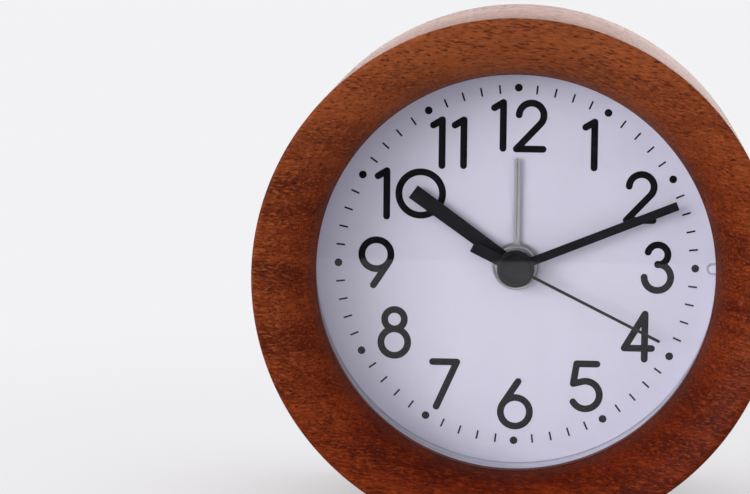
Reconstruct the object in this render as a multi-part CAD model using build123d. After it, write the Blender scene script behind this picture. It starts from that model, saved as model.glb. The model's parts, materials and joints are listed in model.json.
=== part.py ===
"""Round wooden desk alarm clock with a quartz gear train, in millimetres.

The dial faces -Y, +X is to the right seen from the front and +Z is up. The origin lies under the middle of
the case, on the plane that the foot pads stand on. Depths along Y run from the front rim to the back rim.
"""

import os
from math import cos, degrees, hypot, pi, sin, sqrt

from build123d import *

# Driving sizes of the wooden case
case_radius = 50.0
case_depth = 48.0
bezel_width = 11.4
lip_thickness = 2.0
bezel_edge_radius = 0.8
bezel_bulge_share = 0.131
back_edge_radius = 1.6
case_wall = 7.8
back_rim_width = 5.0
back_recess_depth = 6.5
base_cut = 4.0

# Foot pads
pad_radius = 3.6
pad_height = 1.0
pad_spacing_x = 24.0
pad_spacing_y = 34.0

# Glass, dial and the moulded housing that carries them
bore_clearance = 0.2
lens_thickness = 2.0
cap_clearance = 3.05
dial_margin = 0.7
dial_thickness = 0.4
dial_hole_radius = 3.9
housing_wall = 1.6
notch_width = 1.84
notch_length = 2.2
peg_clearance = 0.12
peg_proud = 0.3
floor_thickness = 1.6
floor_hole_radius = 4.4
flange_thickness = 1.5
cover_thickness = 1.8
cover_clearance = 0.3

# Shares of a turn that the hands have made from the top of the dial at rest, at 10:11:19.4
hand_turn_shares = {"hour": 0.8490648, "minute": 0.1887222, "second": 0.3233333}

# Hands
alarm_hand_length = 21.3
alarm_hand_width = 1.2
alarm_hand_ridge = 0.25
alarm_groove_depth = 0.1166667
alarm_hub_radius = 4.7
alarm_ring_radius = 3.95
hour_hand_length = 25.0
hour_hand_tip_width = 3.0
hour_hand_root_width = 2.6
hour_hub_radius = 3.3
minute_hand_length = 33.8
minute_hand_width = 1.7
minute_hub_radius = 3.1
second_hand_length = 31.6
second_hand_width = 0.56
second_tail_length = 9.5
second_tail_width = 2.3
second_hub_radius = 2.2
cap_radius = 3.65
cap_dish_radius = 2.8
cap_dish_depth = 0.3
cap_edge_radius = 0.25
hand_thickness = 0.35
second_hand_thickness = 0.25
alarm_hand_gap = 0.7
hour_hand_gap = 1.75
minute_hand_gap = 2.8
second_hand_gap = 3.8
cap_front_gap = 5.25
arbor_proud = 0.1

# Movement housing, measured from the hands' axis
movement_half_width = 23.0
movement_bottom = 11.8
movement_top = 27.5
movement_corner_radius = 3.0
movement_corner_least = 1.0
movement_wall = 1.0
plate_thickness = 1.2
front_wall_height = 7.7
pillar_radius = 2.0
pillar_inset = 3.4
bridge_clearance = 0.2
bridge_thickness = 1.0
ear_reach = 6.0
ear_height = 7.0
ear_thickness = 1.2
ear_level = 4.0
ear_post_radius = 2.9

# Layers of the gear train
motion_wheel_count = 3
train_wheel_count = 4
wheel_thickness = 0.8
layer_gap = 0.4
pinion_margin = 0.1
running_clearance = 0.05
shaft_clearance = 0.1
pivot_radius = 0.4
pivot_depth = 0.7
end_play = 0.1
hub_radius = 0.6
crossing_count = 5
centre_crossing_count = 4
crossing_circle = 5.4
crossing_radius = 2.0
clutch_flange_radius = 2.6
clutch_flange_thickness = 0.15
clutch_arm_count = 3
clutch_spring_reach = 4.6
clutch_arm_width = 1.6
clutch_spring_thickness = 0.2

# Coaxial tubes and arbors, from the inside out
seconds_arbor_radius = 0.5
minute_tube_radius = 1.5
hour_tube_radius = 2.4
alarm_tube_radius = 3.3
tube_clearance = 0.06

# Tooth counts
rotor_teeth = 8
fifth_teeth = 40
fifth_pinion_teeth = 8
seconds_teeth = 48
seconds_pinion_teeth = 8
third_teeth = 60
third_pinion_teeth = 8
centre_teeth = 64
cannon_teeth = 12
minute_work_teeth = 36
minute_work_pinion_teeth = 10
hour_teeth = 40
setting_teeth = 12
alarm_teeth = 48
alarm_setting_teeth = 12

# Centre distances, and the directions in which the axes stand from one another as shares of a turn from +x
rotor_distance = 6.0
fifth_distance = 10.4
third_distance = 10.2
motion_distance = 12.0
setting_distance = 12.0
alarm_distance = 12.6
direction_shares = {
    "fifth": 0.25,
    "rotor": 0.25,
    "third": 0,
    "minute_work": 0.1666667,
    "setting": -0.0166667,
    "alarm": 0.4166667,
}

# Tooth form: heights are shares of the module, widths are shares of the pitch
pinion_form_shares = {"tip": 0.8, "root": 1.2, "tip_width": 0.16, "root_width": 0.40}
wheel_form_shares = {"tip": 0.9, "root": 1.05, "tip_width": 0.20, "root_width": 0.62}

# Step motor
magnet_radius = 2.6
magnet_length = 1.5
stator_gap = 0.5
stator_thickness = 0.7
stator_half_width = 12.0
stator_height = 7.4
stator_leg_width = 3.0
stator_notch_radius = 0.5
stator_notch_shares = (0.0972222, 0.5972222)
coil_rise = 7.6
core_height = 1.4
coil_radius = 2.1
coil_tube_radius = 1.1
coil_flange_thickness = 0.6
coil_end_gap = 0.3
winding_inset = 0.15
rear_inner_margin = 0.1
movement_cover_gap = 1.45

# Circuit board
board_left = 21.0
board_width = 7.0
board_low = 3.0
board_height = 15.0
chip_level = 3.75
board_thickness = 0.8
board_stand_off = 1.6
board_post_radius = 1.0
board_post_inset = 1.6
crystal_radius = 1.0
crystal_length = 6.0
chip_radius = 1.8
chip_height = 0.8

# Setting shafts and knobs
setting_shaft_radius = 1.2
knob_radius = 5.6
knob_length = 2.6
knob_gap = 0.3
knob_flutes = 18
knob_flute_radius = 0.45
knob_well_radius = 6.6
knob_well_depth = 0.5
knob_shaft_depth = 1.6

# Battery compartment and battery
battery_radius = 7.25
battery_length = 49.5
battery_nub_radius = 2.75
battery_nub_length = 1.0
battery_clearance = 0.3
battery_edge_radius = 0.6
contact_space = 1.4
contact_thickness = 0.3
contact_width = 8.0
contact_height_share = 0.6
tray_gap = 0.2
tray_wall = 1.0
door_thickness = 1.5
door_clearance = 0.25
door_tab_width = 6.0
door_tab_length = 1.5
door_tab_thickness = 1.0
door_tab_spacing = 30.0
door_grip_length = 12.0
door_grip_width = 3.0
door_grip_depth = 0.5
door_grip_ribs = 4
door_rib_width = 0.6

# Buzzer, sound slots and alarm switch
buzzer_radius = 9.0
buzzer_thickness = 0.4
buzzer_height = 18.0
buzzer_ring_width = 1.2
buzzer_ring_height = 0.8
buzzer_disc_radius = 6.5
buzzer_disc_thickness = 0.2
sound_slot_width = 1.2
sound_slot_pitch = 2.8
sound_slot_half_count = 2
switch_left = 29.0
switch_height = 7.5
switch_travel = 3.0
switch_body_width = 5.0
switch_body_length = 9.0
switch_body_depth = 3.6
switch_wall = 0.8
switch_stem_width = 1.6
switch_stem_length = 2.4
switch_cap_width = 4.4
switch_cap_length = 4.0
switch_cap_height = 1.3
switch_clearance = 0.25

# Screws
cover_screw_radius = 1.1
cover_screw_head_radius = 2.1
cover_screw_head_height = 1.1
cover_screw_length = 9.0
cover_screw_shares = (0.0833333, 0.4166667, 0.75)
cover_boss_radius = 2.8
movement_screw_radius = 0.95
movement_screw_head_radius = 1.8
movement_screw_head_height = 1.1
movement_screw_length = 5.0
driver_slot_width = 0.6
driver_slot_depth = 0.5
screw_hole_clearance = 0.15
screw_end_gap = 0.5
cut_overrun = 1.0

# Rings of the case
opening_radius = case_radius - bezel_width
bore_radius = case_radius - case_wall
back_recess_radius = case_radius - back_rim_width

# Depth of the movement: motion work, bridge and running train, motor, and its two plates
wheel_pitch = wheel_thickness + layer_gap
motion_depth = plate_thickness + motion_wheel_count * wheel_pitch + layer_gap
train_depth = bridge_thickness + layer_gap + train_wheel_count * wheel_pitch
coil_middle = (magnet_length - stator_thickness) / 2 + stator_thickness + stator_thickness / 2
motor_depth = coil_middle + coil_radius + rear_inner_margin
movement_depth = motion_depth + train_depth + motor_depth + plate_thickness

# Planes along the depth of the clock: the cover carries the movement, and the glass clears the cap
front_y = -case_depth / 2
back_y = case_depth / 2
axis_height = pad_height + case_radius - base_cut
ledge_y = back_y - back_recess_depth
cover_front_y = ledge_y + flange_thickness
cover_back_y = cover_front_y + cover_thickness
floor_back_y = cover_front_y - movement_cover_gap - movement_depth
dial_back_y = floor_back_y - floor_thickness
dial_y = dial_back_y - dial_thickness
lens_back_y = dial_y - cap_front_gap - cap_clearance
lens_front_y = lens_back_y - lens_thickness
lip_y = lens_front_y - lip_thickness

# Planes of the movement's layers
plate_inner_y = floor_back_y + plate_thickness
alarm_y = plate_inner_y + layer_gap
hour_y = alarm_y + wheel_pitch
motion_y = hour_y + wheel_pitch
bridge_y = floor_back_y + motion_depth
bridge_back_y = bridge_y + bridge_thickness
centre_y = bridge_back_y + layer_gap
third_y = centre_y + wheel_pitch
seconds_y = third_y + wheel_pitch
fifth_y = seconds_y + wheel_pitch
magnet_y = fifth_y + wheel_pitch
stator_y = magnet_y + (magnet_length - stator_thickness) / 2
core_y = stator_y + stator_thickness
coil_y = magnet_y + coil_middle
rear_inner_y = bridge_y + train_depth + motor_depth
rear_y = rear_inner_y + plate_thickness
split_y = floor_back_y + front_wall_height

housing_radius = bore_radius - bore_clearance
housing_inner_radius = housing_radius - housing_wall
dial_radius = housing_inner_radius - dial_margin


def polar(radius, angle, start=(0, 0)):
    """Point at a radius and an angle in the x-z plane, from a start point."""
    return (start[0] + radius * cos(angle), start[1] + radius * sin(angle))


# Directions of the axes from one another, and their places in the x-z plane, from the hands' axis
fifth_direction = 2 * pi * direction_shares["fifth"]
rotor_direction = 2 * pi * direction_shares["rotor"]
third_direction = 2 * pi * direction_shares["third"]
minute_work_direction = 2 * pi * direction_shares["minute_work"]
setting_direction = 2 * pi * direction_shares["setting"]
alarm_direction = 2 * pi * direction_shares["alarm"]
fifth_place = polar(fifth_distance, fifth_direction)
rotor_place = polar(rotor_distance, rotor_direction, fifth_place)
third_place = polar(third_distance, third_direction)
minute_work_place = polar(motion_distance, minute_work_direction)
setting_place = polar(setting_distance, setting_direction, minute_work_place)
alarm_place = polar(alarm_distance, alarm_direction)
coil_place = (rotor_place[0], rotor_place[1] + coil_rise)
buzzer_place = (0, buzzer_height)


def raised(sketch, start_y, end_y):
    """Raise a sketch, drawn in x and z from the hands' axis, between two planes of the depth."""
    return Pos(0, start_y, axis_height) * extrude(Plane.XZ * sketch, amount=end_y - start_y, dir=(0, 1, 0))


def round_bar(radius, start_y, end_y, place=(0, 0)):
    """Round bar along the depth."""
    return raised(Pos(*place) * Circle(radius), start_y, end_y)


def tube(outer, inner, start_y, end_y, place=(0, 0)):
    """Round tube along the depth."""
    return raised(Pos(*place) * (Circle(outer) - Circle(inner)), start_y, end_y)


def turned(outline):
    """Turn a closed outline of radius and depth round the hands' axis."""
    return Pos(0, 0, axis_height) * revolve(make_face(outline), Axis.Y)


def block(width, height, place, start_y, end_y):
    """Block with its width along x and its height along z."""
    return raised(Pos(*place) * Rectangle(width, height), start_y, end_y)


def pitch_radius(teeth, mating_teeth, distance):
    """Pitch radius of one gear of a pair."""
    return distance * teeth / (teeth + mating_teeth)


def mesh_phase(teeth, phase, mating_teeth, direction):
    """Phase of the mating gear whose gap faces a tooth of the first, seen along the line of centres."""
    return direction + pi + (pi - teeth * (phase - direction)) / mating_teeth


def gear_sketch(teeth, radius, phase, form_shares, place=(0, 0)):
    """Gear outline with straight flanks: four points for each tooth."""
    module = 2 * radius / teeth
    pitch = 2 * pi / teeth
    root = radius - form_shares["root"] * module
    tip = radius + form_shares["tip"] * module
    half_root = form_shares["root_width"] / 2
    half_tip = form_shares["tip_width"] / 2
    points = []
    for tooth in range(teeth):
        for side, reach in ((-half_root, root), (-half_tip, tip), (half_tip, tip), (half_root, root)):
            points.append(polar(reach, phase + (tooth + side) * pitch, place))
    return make_face(Polyline(*points, close=True))


def mesh_sketches(wheel_teeth, pinion_teeth, distance, direction, wheel_phase, wheel_place=(0, 0)):
    """Outlines of a wheel and of the pinion in mesh with it."""
    pinion_place = polar(distance, direction, wheel_place)
    pinion_phase = mesh_phase(wheel_teeth, wheel_phase, pinion_teeth, direction)
    wheel_radius = pitch_radius(wheel_teeth, pinion_teeth, distance)
    pinion_radius = pitch_radius(pinion_teeth, wheel_teeth, distance)
    wheel = gear_sketch(wheel_teeth, wheel_radius, wheel_phase, wheel_form_shares, wheel_place)
    pinion = gear_sketch(pinion_teeth, pinion_radius, pinion_phase, pinion_form_shares, pinion_place)
    return wheel, pinion


def reach_mid(start, end, bulge):
    """Middle point of an arc that bulges to the left of its chord."""
    along = (end[0] - start[0], end[1] - start[1])
    length = hypot(*along)
    return (
        (start[0] + end[0]) / 2 - bulge * along[1] / length,
        (start[1] + end[1]) / 2 + bulge * along[0] / length,
    )


def corner_arc(centre, radius, start_angle, end_angle):
    """Quarter-round corner of an outline."""
    middle = (start_angle + end_angle) / 2
    return ThreePointArc(
        polar(radius, start_angle, centre), polar(radius, middle, centre), polar(radius, end_angle, centre)
    )


def wooden_case():
    """Turned drum: convex bezel, lip for the glass, bore, recessed back and a flat cut to stand on."""
    slope_start = (case_radius - bezel_edge_radius, front_y)
    slope_end = (opening_radius, lip_y)
    outer_front = (case_radius, front_y + bezel_edge_radius)
    outer_back = (case_radius, back_y - back_edge_radius)
    inner_back = (case_radius - back_edge_radius, back_y)
    bulge = hypot(bezel_width - bezel_edge_radius, lip_y - front_y) * bezel_bulge_share
    outline = [
        ThreePointArc(slope_start, reach_mid(slope_start, slope_end, bulge), slope_end),
        Polyline(
            slope_end,
            (opening_radius, lens_front_y),
            (bore_radius, lens_front_y),
            (bore_radius, ledge_y),
            (back_recess_radius, ledge_y),
            (back_recess_radius, back_y),
            inner_back,
        ),
        corner_arc((inner_back[0], outer_back[1]), back_edge_radius, pi / 2, 0),
        Line(outer_back, outer_front),
        corner_arc((slope_start[0], outer_front[1]), bezel_edge_radius, 0, -pi / 2),
    ]
    below_flat = Pos(0, 0, pad_height) * Box(
        2 * case_radius, 2 * case_depth, 2 * base_cut, align=(Align.CENTER, Align.CENTER, Align.MAX)
    )
    return turned(Wire([edge for curve in outline for edge in curve.edges()])) - below_flat


def foot_pads():
    """Four silicone pads under the flat."""
    return Compound(
        [
            Pos(side * pad_spacing_x / 2, end * pad_spacing_y / 2, pad_height / 2)
            * Cylinder(pad_radius, pad_height)
            for side in (-1, 1)
            for end in (-1, 1)
        ]
    )


def lens():
    """Flat glass, seated behind the lip."""
    return round_bar(housing_radius, lens_front_y, lens_back_y)


def notch_sketch(clearance, outer_reach):
    """Round-ended slot at 3 o'clock that keeps the dial from turning."""
    half_width = notch_width / 2 - clearance
    inner = dial_radius - notch_length + notch_width / 2
    middle = (inner + outer_reach) / 2
    slot = Pos(middle, 0) * Rectangle(outer_reach - inner, 2 * half_width)
    return Pos(inner, 0) * Circle(half_width) + slot


def dial():
    """Printed metal dial with its locating notch."""
    outline = Circle(dial_radius) - Circle(dial_hole_radius) - notch_sketch(0, dial_radius + notch_width)
    return raised(outline, dial_y, dial_back_y)


def cover_screw_places():
    """Places of the screws that hold the back cover."""
    circle = housing_inner_radius - cover_boss_radius + housing_wall / 2
    return [polar(circle, 2 * pi * share) for share in cover_screw_shares]


def ear_places():
    """Places of the screws that hold the movement, one at each side."""
    return [(side * (movement_half_width + ear_reach / 2), ear_level) for side in (-1, 1)]


def dial_housing():
    """White moulded cup: wall up to the glass, floor behind the dial, bosses and a flange."""
    flange_radius = back_recess_radius - bore_clearance
    outline = Polyline(
        (housing_inner_radius, lens_back_y),
        (housing_radius, lens_back_y),
        (housing_radius, ledge_y),
        (flange_radius, ledge_y),
        (flange_radius, cover_front_y),
        (housing_inner_radius, cover_front_y),
        (housing_inner_radius, floor_back_y),
        (floor_hole_radius, floor_back_y),
        (floor_hole_radius, dial_back_y),
        (housing_inner_radius, dial_back_y),
        close=True,
    )
    cup = turned(outline)
    peg = notch_sketch(peg_clearance, housing_inner_radius + housing_wall / 2)
    cup += raised(peg, dial_y - peg_proud, floor_back_y)
    for place in cover_screw_places():
        cup += round_bar(cover_boss_radius, dial_back_y, cover_front_y, place) & round_bar(
            housing_radius, dial_back_y, cover_front_y
        )
        cup -= round_bar(cover_screw_radius, cover_back_y - cover_screw_length, cover_front_y, place)
    for place in ear_places():
        cup += round_bar(ear_post_radius, dial_back_y, split_y - ear_thickness, place)
        cup -= round_bar(movement_screw_radius, split_y - movement_screw_length, split_y, place)
    return cup


def hand_planes(gap, thickness=hand_thickness):
    """Front and back planes of a hand at its gap before the dial."""
    return dial_y - gap - thickness, dial_y - gap


def hand_angle(hand):
    """Direction of a hand in degrees, from +x towards +z."""
    return degrees(pi / 2 - 2 * pi * hand_turn_shares[hand])


def alarm_hand():
    """Silver alarm hand: grooved strip on a ringed hub, pointing to 12."""
    start_y, end_y = hand_planes(alarm_hand_gap)
    half_width = alarm_hand_width / 2
    reach = alarm_hand_length - half_width
    blade = Pos(0, reach / 2) * Rectangle(alarm_hand_width, reach) + Pos(0, reach) * Circle(half_width)
    ring = Circle(alarm_ring_radius) - Circle(alarm_tube_radius)
    hand = raised(blade + Circle(alarm_hub_radius) - Circle(alarm_tube_radius), start_y, end_y)
    hand += raised(ring, start_y - alarm_hand_ridge, end_y)
    groove = Pos(0, (reach + alarm_hub_radius) / 2) * Rectangle(half_width, reach - alarm_hub_radius)
    return hand - raised(groove, start_y, start_y + alarm_groove_depth)


def hour_hand():
    """Black bar that widens towards its squared tip."""
    start_y, end_y = hand_planes(hour_hand_gap)
    blade = make_face(
        Polyline(
            (0, -hour_hand_root_width / 2),
            (hour_hand_length, -hour_hand_tip_width / 2),
            (hour_hand_length, hour_hand_tip_width / 2),
            (0, hour_hand_root_width / 2),
            close=True,
        )
    )
    outline = Rot(0, 0, hand_angle("hour")) * blade + Circle(hour_hub_radius) - Circle(hour_tube_radius)
    return raised(outline, start_y, end_y)


def minute_hand():
    """Straight black bar with a squared tip."""
    start_y, end_y = hand_planes(minute_hand_gap)
    blade = Pos(minute_hand_length / 2, 0) * Rectangle(minute_hand_length, minute_hand_width)
    outline = Rot(0, 0, hand_angle("minute")) * blade + Circle(minute_hub_radius) - Circle(minute_tube_radius)
    return raised(outline, start_y, end_y)


def second_hand():
    """Thin black hand with a broad tail."""
    start_y, end_y = hand_planes(second_hand_gap, second_hand_thickness)
    blade = Pos(second_hand_length / 2, 0) * Rectangle(second_hand_length, second_hand_width)
    tail = Pos(-second_tail_length / 2, 0) * Rectangle(second_tail_length, second_tail_width)
    outline = Rot(0, 0, hand_angle("second")) * (blade + tail) + Circle(second_hub_radius)
    return raised(outline - Circle(seconds_arbor_radius), start_y, end_y)


def hand_cap():
    """Dished black cap over the middle of the hands."""
    start_y = dial_y - cap_front_gap
    end_y = hand_planes(second_hand_gap, second_hand_thickness)[0]
    cap = round_bar(cap_radius, start_y, end_y)
    cap -= round_bar(cap_dish_radius, start_y, start_y + cap_dish_depth)
    return fillet(cap.edges().filter_by(GeomType.CIRCLE).group_by(Axis.Y)[0], cap_edge_radius)


def arbor(place, start_y, end_y):
    """Steel arbor with a thinner pivot at each end, set in the two plates."""
    body = round_bar(hub_radius, start_y + end_play, end_y - end_play, place)
    return body + round_bar(pivot_radius, start_y - pivot_depth, end_y + pivot_depth, place)


def wheel_layer(sketch, start_y):
    """Toothed wheel that fills its layer."""
    return raised(sketch, start_y, start_y + wheel_thickness)


def pinion_layer(sketch, start_y):
    """Pinion, a little longer than the layer of the wheel that it meets."""
    return raised(sketch, start_y - pinion_margin, start_y + wheel_thickness + pinion_margin)


def crossings(count, circle, radius, place=(0, 0)):
    """Round openings that lighten the web of a wheel."""
    holes = [Pos(*polar(circle, 2 * pi * step / count, place)) * Circle(radius) for step in range(count)]
    return Sketch() + holes


def gear_train():
    """Every wheel of the movement, in mesh, by name."""
    fifth_phase = mesh_phase(seconds_teeth, 0, fifth_pinion_teeth, fifth_direction)
    seconds_wheel, fifth_pinion = mesh_sketches(
        seconds_teeth, fifth_pinion_teeth, fifth_distance, fifth_direction, 0
    )
    fifth_wheel, rotor_pinion = mesh_sketches(
        fifth_teeth, rotor_teeth, rotor_distance, rotor_direction, fifth_phase, fifth_place
    )
    third_wheel, seconds_pinion = mesh_sketches(
        third_teeth, seconds_pinion_teeth, third_distance, third_direction + pi, 0, third_place
    )
    centre_wheel, third_pinion = mesh_sketches(
        centre_teeth, third_pinion_teeth, third_distance, third_direction, 0
    )
    minute_work_wheel, cannon_pinion = mesh_sketches(
        minute_work_teeth, cannon_teeth, motion_distance, minute_work_direction + pi, 0, minute_work_place
    )
    setting_pinion = mesh_sketches(
        minute_work_teeth, setting_teeth, setting_distance, setting_direction, 0, minute_work_place
    )[1]
    hour_wheel, minute_work_pinion = mesh_sketches(
        hour_teeth, minute_work_pinion_teeth, motion_distance, minute_work_direction, 0
    )
    alarm_wheel, alarm_pinion = mesh_sketches(
        alarm_teeth, alarm_setting_teeth, alarm_distance, alarm_direction, 0
    )
    third_crossings = crossings(crossing_count, crossing_circle, crossing_radius, third_place)
    shoulder_y = bridge_back_y
    return {
        "rotor": arbor(rotor_place, shoulder_y, rear_inner_y) + pinion_layer(rotor_pinion, fifth_y),
        "fifth_wheel": arbor(fifth_place, shoulder_y, rear_inner_y)
        + wheel_layer(fifth_wheel, fifth_y)
        + pinion_layer(fifth_pinion, seconds_y),
        "seconds_wheel": seconds_arbor()
        + wheel_layer(seconds_wheel - crossings(crossing_count, crossing_circle, crossing_radius), seconds_y)
        + pinion_layer(seconds_pinion, third_y),
        "third_wheel": arbor(third_place, shoulder_y, rear_inner_y)
        + wheel_layer(third_wheel - third_crossings, third_y)
        + pinion_layer(third_pinion, centre_y),
        "centre_wheel": wheel_layer(
            centre_wheel
            - crossings(centre_crossing_count, crossing_circle, crossing_radius)
            - Circle(minute_tube_radius + running_clearance),
            centre_y,
        ),
        "minute_arbor": minute_arbor(cannon_pinion),
        "minute_work_wheel": arbor(minute_work_place, plate_inner_y, bridge_y)
        + wheel_layer(minute_work_wheel, motion_y)
        + pinion_layer(minute_work_pinion, hour_y),
        "hour_wheel": hollow_wheel(
            hour_wheel, hour_y, hour_tube_radius, minute_tube_radius + tube_clearance, hour_hand_gap
        ),
        "alarm_wheel": hollow_wheel(
            alarm_wheel, alarm_y, alarm_tube_radius, hour_tube_radius + tube_clearance, alarm_hand_gap
        ),
        "time_setting_shaft": setting_shaft(setting_place) + pinion_layer(setting_pinion, motion_y),
        "alarm_setting_shaft": setting_shaft(alarm_place) + pinion_layer(alarm_pinion, alarm_y),
    }


def seconds_arbor():
    """Long arbor from the second hand to its pivot in the rear plate."""
    tip_y = hand_planes(second_hand_gap, second_hand_thickness)[0]
    return (
        round_bar(seconds_arbor_radius, tip_y, third_y)
        + round_bar(hub_radius, third_y - pinion_margin, rear_inner_y - end_play)
        + round_bar(pivot_radius, third_y, rear_inner_y + pivot_depth)
    )


def minute_arbor(cannon_pinion):
    """Tube that carries the minute hand, with the cannon pinion and the clutch's flange."""
    tip_y = hand_planes(minute_hand_gap)[0] - arbor_proud
    flange_y = centre_y + wheel_thickness + running_clearance
    solid = round_bar(minute_tube_radius, tip_y, flange_y) + pinion_layer(cannon_pinion, motion_y)
    solid += round_bar(clutch_flange_radius, flange_y, flange_y + clutch_flange_thickness)
    bore = round_bar(
        seconds_arbor_radius + tube_clearance,
        tip_y - cut_overrun,
        flange_y + clutch_flange_thickness + cut_overrun,
    )
    return solid - bore


def clutch_spring():
    """Three-armed spring washer that presses the centre wheel on its flange."""
    end_y = centre_y - running_clearance
    arms = Sketch() + [
        Rot(0, 0, degrees(2 * pi * step / clutch_arm_count))
        * Pos(clutch_spring_reach / 2, 0)
        * Rectangle(clutch_spring_reach, clutch_arm_width)
        for step in range(clutch_arm_count)
    ]
    outline = Circle(clutch_flange_radius) + arms - Circle(minute_tube_radius)
    return raised(outline, end_y - clutch_spring_thickness, end_y)


def hollow_wheel(sketch, start_y, outer, inner, gap):
    """Wheel on a tube that runs forward to its hand."""
    tip_y = hand_planes(gap)[0] - arbor_proud
    solid = wheel_layer(sketch, start_y) + round_bar(outer, tip_y, start_y)
    return solid - round_bar(inner, tip_y - cut_overrun, start_y + wheel_thickness + cut_overrun)


def knob_front_y():
    """Plane of a knob's inner face, in its well in the cover."""
    return cover_back_y - knob_well_depth + knob_gap


def setting_shaft(place):
    """Shaft from its pivot in the front plate to the knob behind the cover."""
    end_y = knob_front_y() + knob_shaft_depth
    shaft = round_bar(setting_shaft_radius, plate_inner_y + end_play, end_y, place)
    return shaft + round_bar(pivot_radius, plate_inner_y - pivot_depth, plate_inner_y + end_play, place)


def knob(place):
    """Fluted knob pressed on its shaft."""
    start_y = knob_front_y()
    flutes = Sketch() + [
        Pos(*polar(knob_radius, 2 * pi * step / knob_flutes)) * Circle(knob_flute_radius)
        for step in range(knob_flutes)
    ]
    body = raised(Pos(*place) * (Circle(knob_radius) - flutes), start_y, start_y + knob_length)
    return body - round_bar(setting_shaft_radius, start_y, start_y + knob_shaft_depth, place)


def movement_outline(inset):
    """Rounded outline of the movement, drawn in by an inset."""
    height = movement_top + movement_bottom - 2 * inset
    middle = (movement_top - movement_bottom) / 2
    radius = max(movement_corner_radius - inset, movement_corner_least)
    return Pos(0, middle) * RectangleRounded(2 * (movement_half_width - inset), height, radius)


def pillar_places():
    """Corners of the movement where pillars hold the bridge."""
    across = movement_half_width - pillar_inset
    levels = (pillar_inset - movement_bottom, movement_top - pillar_inset)
    return [(side * across, level) for side in (-1, 1) for level in levels]


def movement_front_housing():
    """Front plate with the outer bearing, its side walls, four pillars and two screwed ears."""
    shell = raised(movement_outline(0), floor_back_y, split_y) - raised(
        movement_outline(movement_wall), plate_inner_y, split_y
    )
    shell -= round_bar(alarm_tube_radius + tube_clearance, floor_back_y, plate_inner_y)
    for place in pillar_places():
        shell += round_bar(pillar_radius, plate_inner_y, bridge_y, place)
    blind_y = plate_inner_y - pivot_depth - end_play
    for place in (minute_work_place, setting_place, alarm_place):
        shell -= round_bar(pivot_radius + running_clearance, blind_y, plate_inner_y, place)
    hole_radius = movement_screw_radius + screw_hole_clearance
    for side, place in zip((-1, 1), ear_places()):
        root = (side * (movement_half_width + ear_reach / 2 - movement_wall / 2), ear_level)
        shell += block(ear_reach + movement_wall, ear_height, root, split_y - ear_thickness, split_y)
        shell -= round_bar(hole_radius, split_y - ear_thickness, split_y, place)
    return shell


def bridge_plate():
    """Plate between the motion work and the running train, with a bearing for each arbor."""
    outline = movement_outline(movement_wall + bridge_clearance)
    outline -= Circle(minute_tube_radius + tube_clearance)
    for place in (third_place, fifth_place, rotor_place, minute_work_place):
        outline -= Pos(*place) * Circle(pivot_radius + running_clearance)
    for place in (setting_place, alarm_place):
        outline -= Pos(*place) * Circle(setting_shaft_radius + shaft_clearance)
    return raised(outline, bridge_y, bridge_back_y)


def stator_post_places():
    """Places of the two posts that carry the stator."""
    across = stator_half_width - stator_leg_width / 2
    return [(rotor_place[0] + side * across, rotor_place[1]) for side in (-1, 1)]


def board_middle():
    """Middle of the circuit board in x and z."""
    return (-board_left + board_width / 2, board_low + board_height / 2)


def board_post_places():
    """Places of the two posts that carry the circuit board."""
    middle = board_middle()
    return [(middle[0], middle[1] + end * (board_height / 2 - board_post_inset)) for end in (-1, 1)]


def movement_rear_housing():
    """Rear plate with its walls, pillars on the bridge, posts for stator and board, and pivot holes."""
    shell = raised(movement_outline(0), split_y, rear_y)
    shell -= raised(movement_outline(movement_wall), split_y, rear_inner_y)
    for place in pillar_places():
        shell += round_bar(pillar_radius, bridge_back_y, rear_inner_y, place)
    for place in stator_post_places():
        shell += round_bar(board_post_radius, core_y, rear_inner_y, place)
    for place in board_post_places():
        shell += round_bar(board_post_radius, rear_inner_y - board_stand_off, rear_inner_y, place)
    blind_y = rear_inner_y + pivot_depth + end_play
    for place in ((0, 0), third_place, fifth_place, rotor_place):
        shell -= round_bar(pivot_radius + running_clearance, rear_inner_y, blind_y, place)
    for place in (setting_place, alarm_place):
        shell -= round_bar(setting_shaft_radius + shaft_clearance, rear_inner_y, rear_y, place)
    return shell


def rotor_magnet():
    """Ring magnet on the rotor's arbor."""
    return tube(magnet_radius, hub_radius, magnet_y, magnet_y + magnet_length, rotor_place)


def stator():
    """Soft-iron plate round the rotor, notched at the pole gap, with two legs up to the coil's core."""
    leg_top = coil_place[1] + core_height / 2
    leg_height = leg_top - rotor_place[1]
    across = stator_half_width - stator_leg_width / 2
    outline = Pos(*rotor_place) * Rectangle(2 * stator_half_width, stator_height)
    for side in (-1, 1):
        outline += Pos(rotor_place[0] + side * across, rotor_place[1] + leg_height / 2) * Rectangle(
            stator_leg_width, leg_height
        )
    hole_radius = magnet_radius + stator_gap
    outline -= Pos(*rotor_place) * Circle(hole_radius)
    for share in stator_notch_shares:
        outline -= Pos(*polar(hole_radius, 2 * pi * share, rotor_place)) * Circle(stator_notch_radius)
    return raised(outline, stator_y, core_y)


def coil_core():
    """Iron bar through the coil, across the stator's legs."""
    return block(2 * stator_half_width, core_height, coil_place, core_y, core_y + stator_thickness)


def cross_bar(radius, length, place, y):
    """Round bar that lies along x."""
    return Pos(place[0], y, axis_height + place[1]) * Rot(0, degrees(pi / 2), 0) * Cylinder(radius, length)


def bobbin_length():
    """Length of the bobbin between the stator's legs."""
    return 2 * (stator_half_width - stator_leg_width - coil_end_gap)


def coil_bobbin():
    """Moulded bobbin with two flanges, on the core."""
    length = bobbin_length()
    across = (length - coil_flange_thickness) / 2
    body = cross_bar(coil_tube_radius, length, coil_place, coil_y)
    for side in (-1, 1):
        flange_place = (coil_place[0] + side * across, coil_place[1])
        body += cross_bar(coil_radius, coil_flange_thickness, flange_place, coil_y)
    return body - coil_core()


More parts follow.
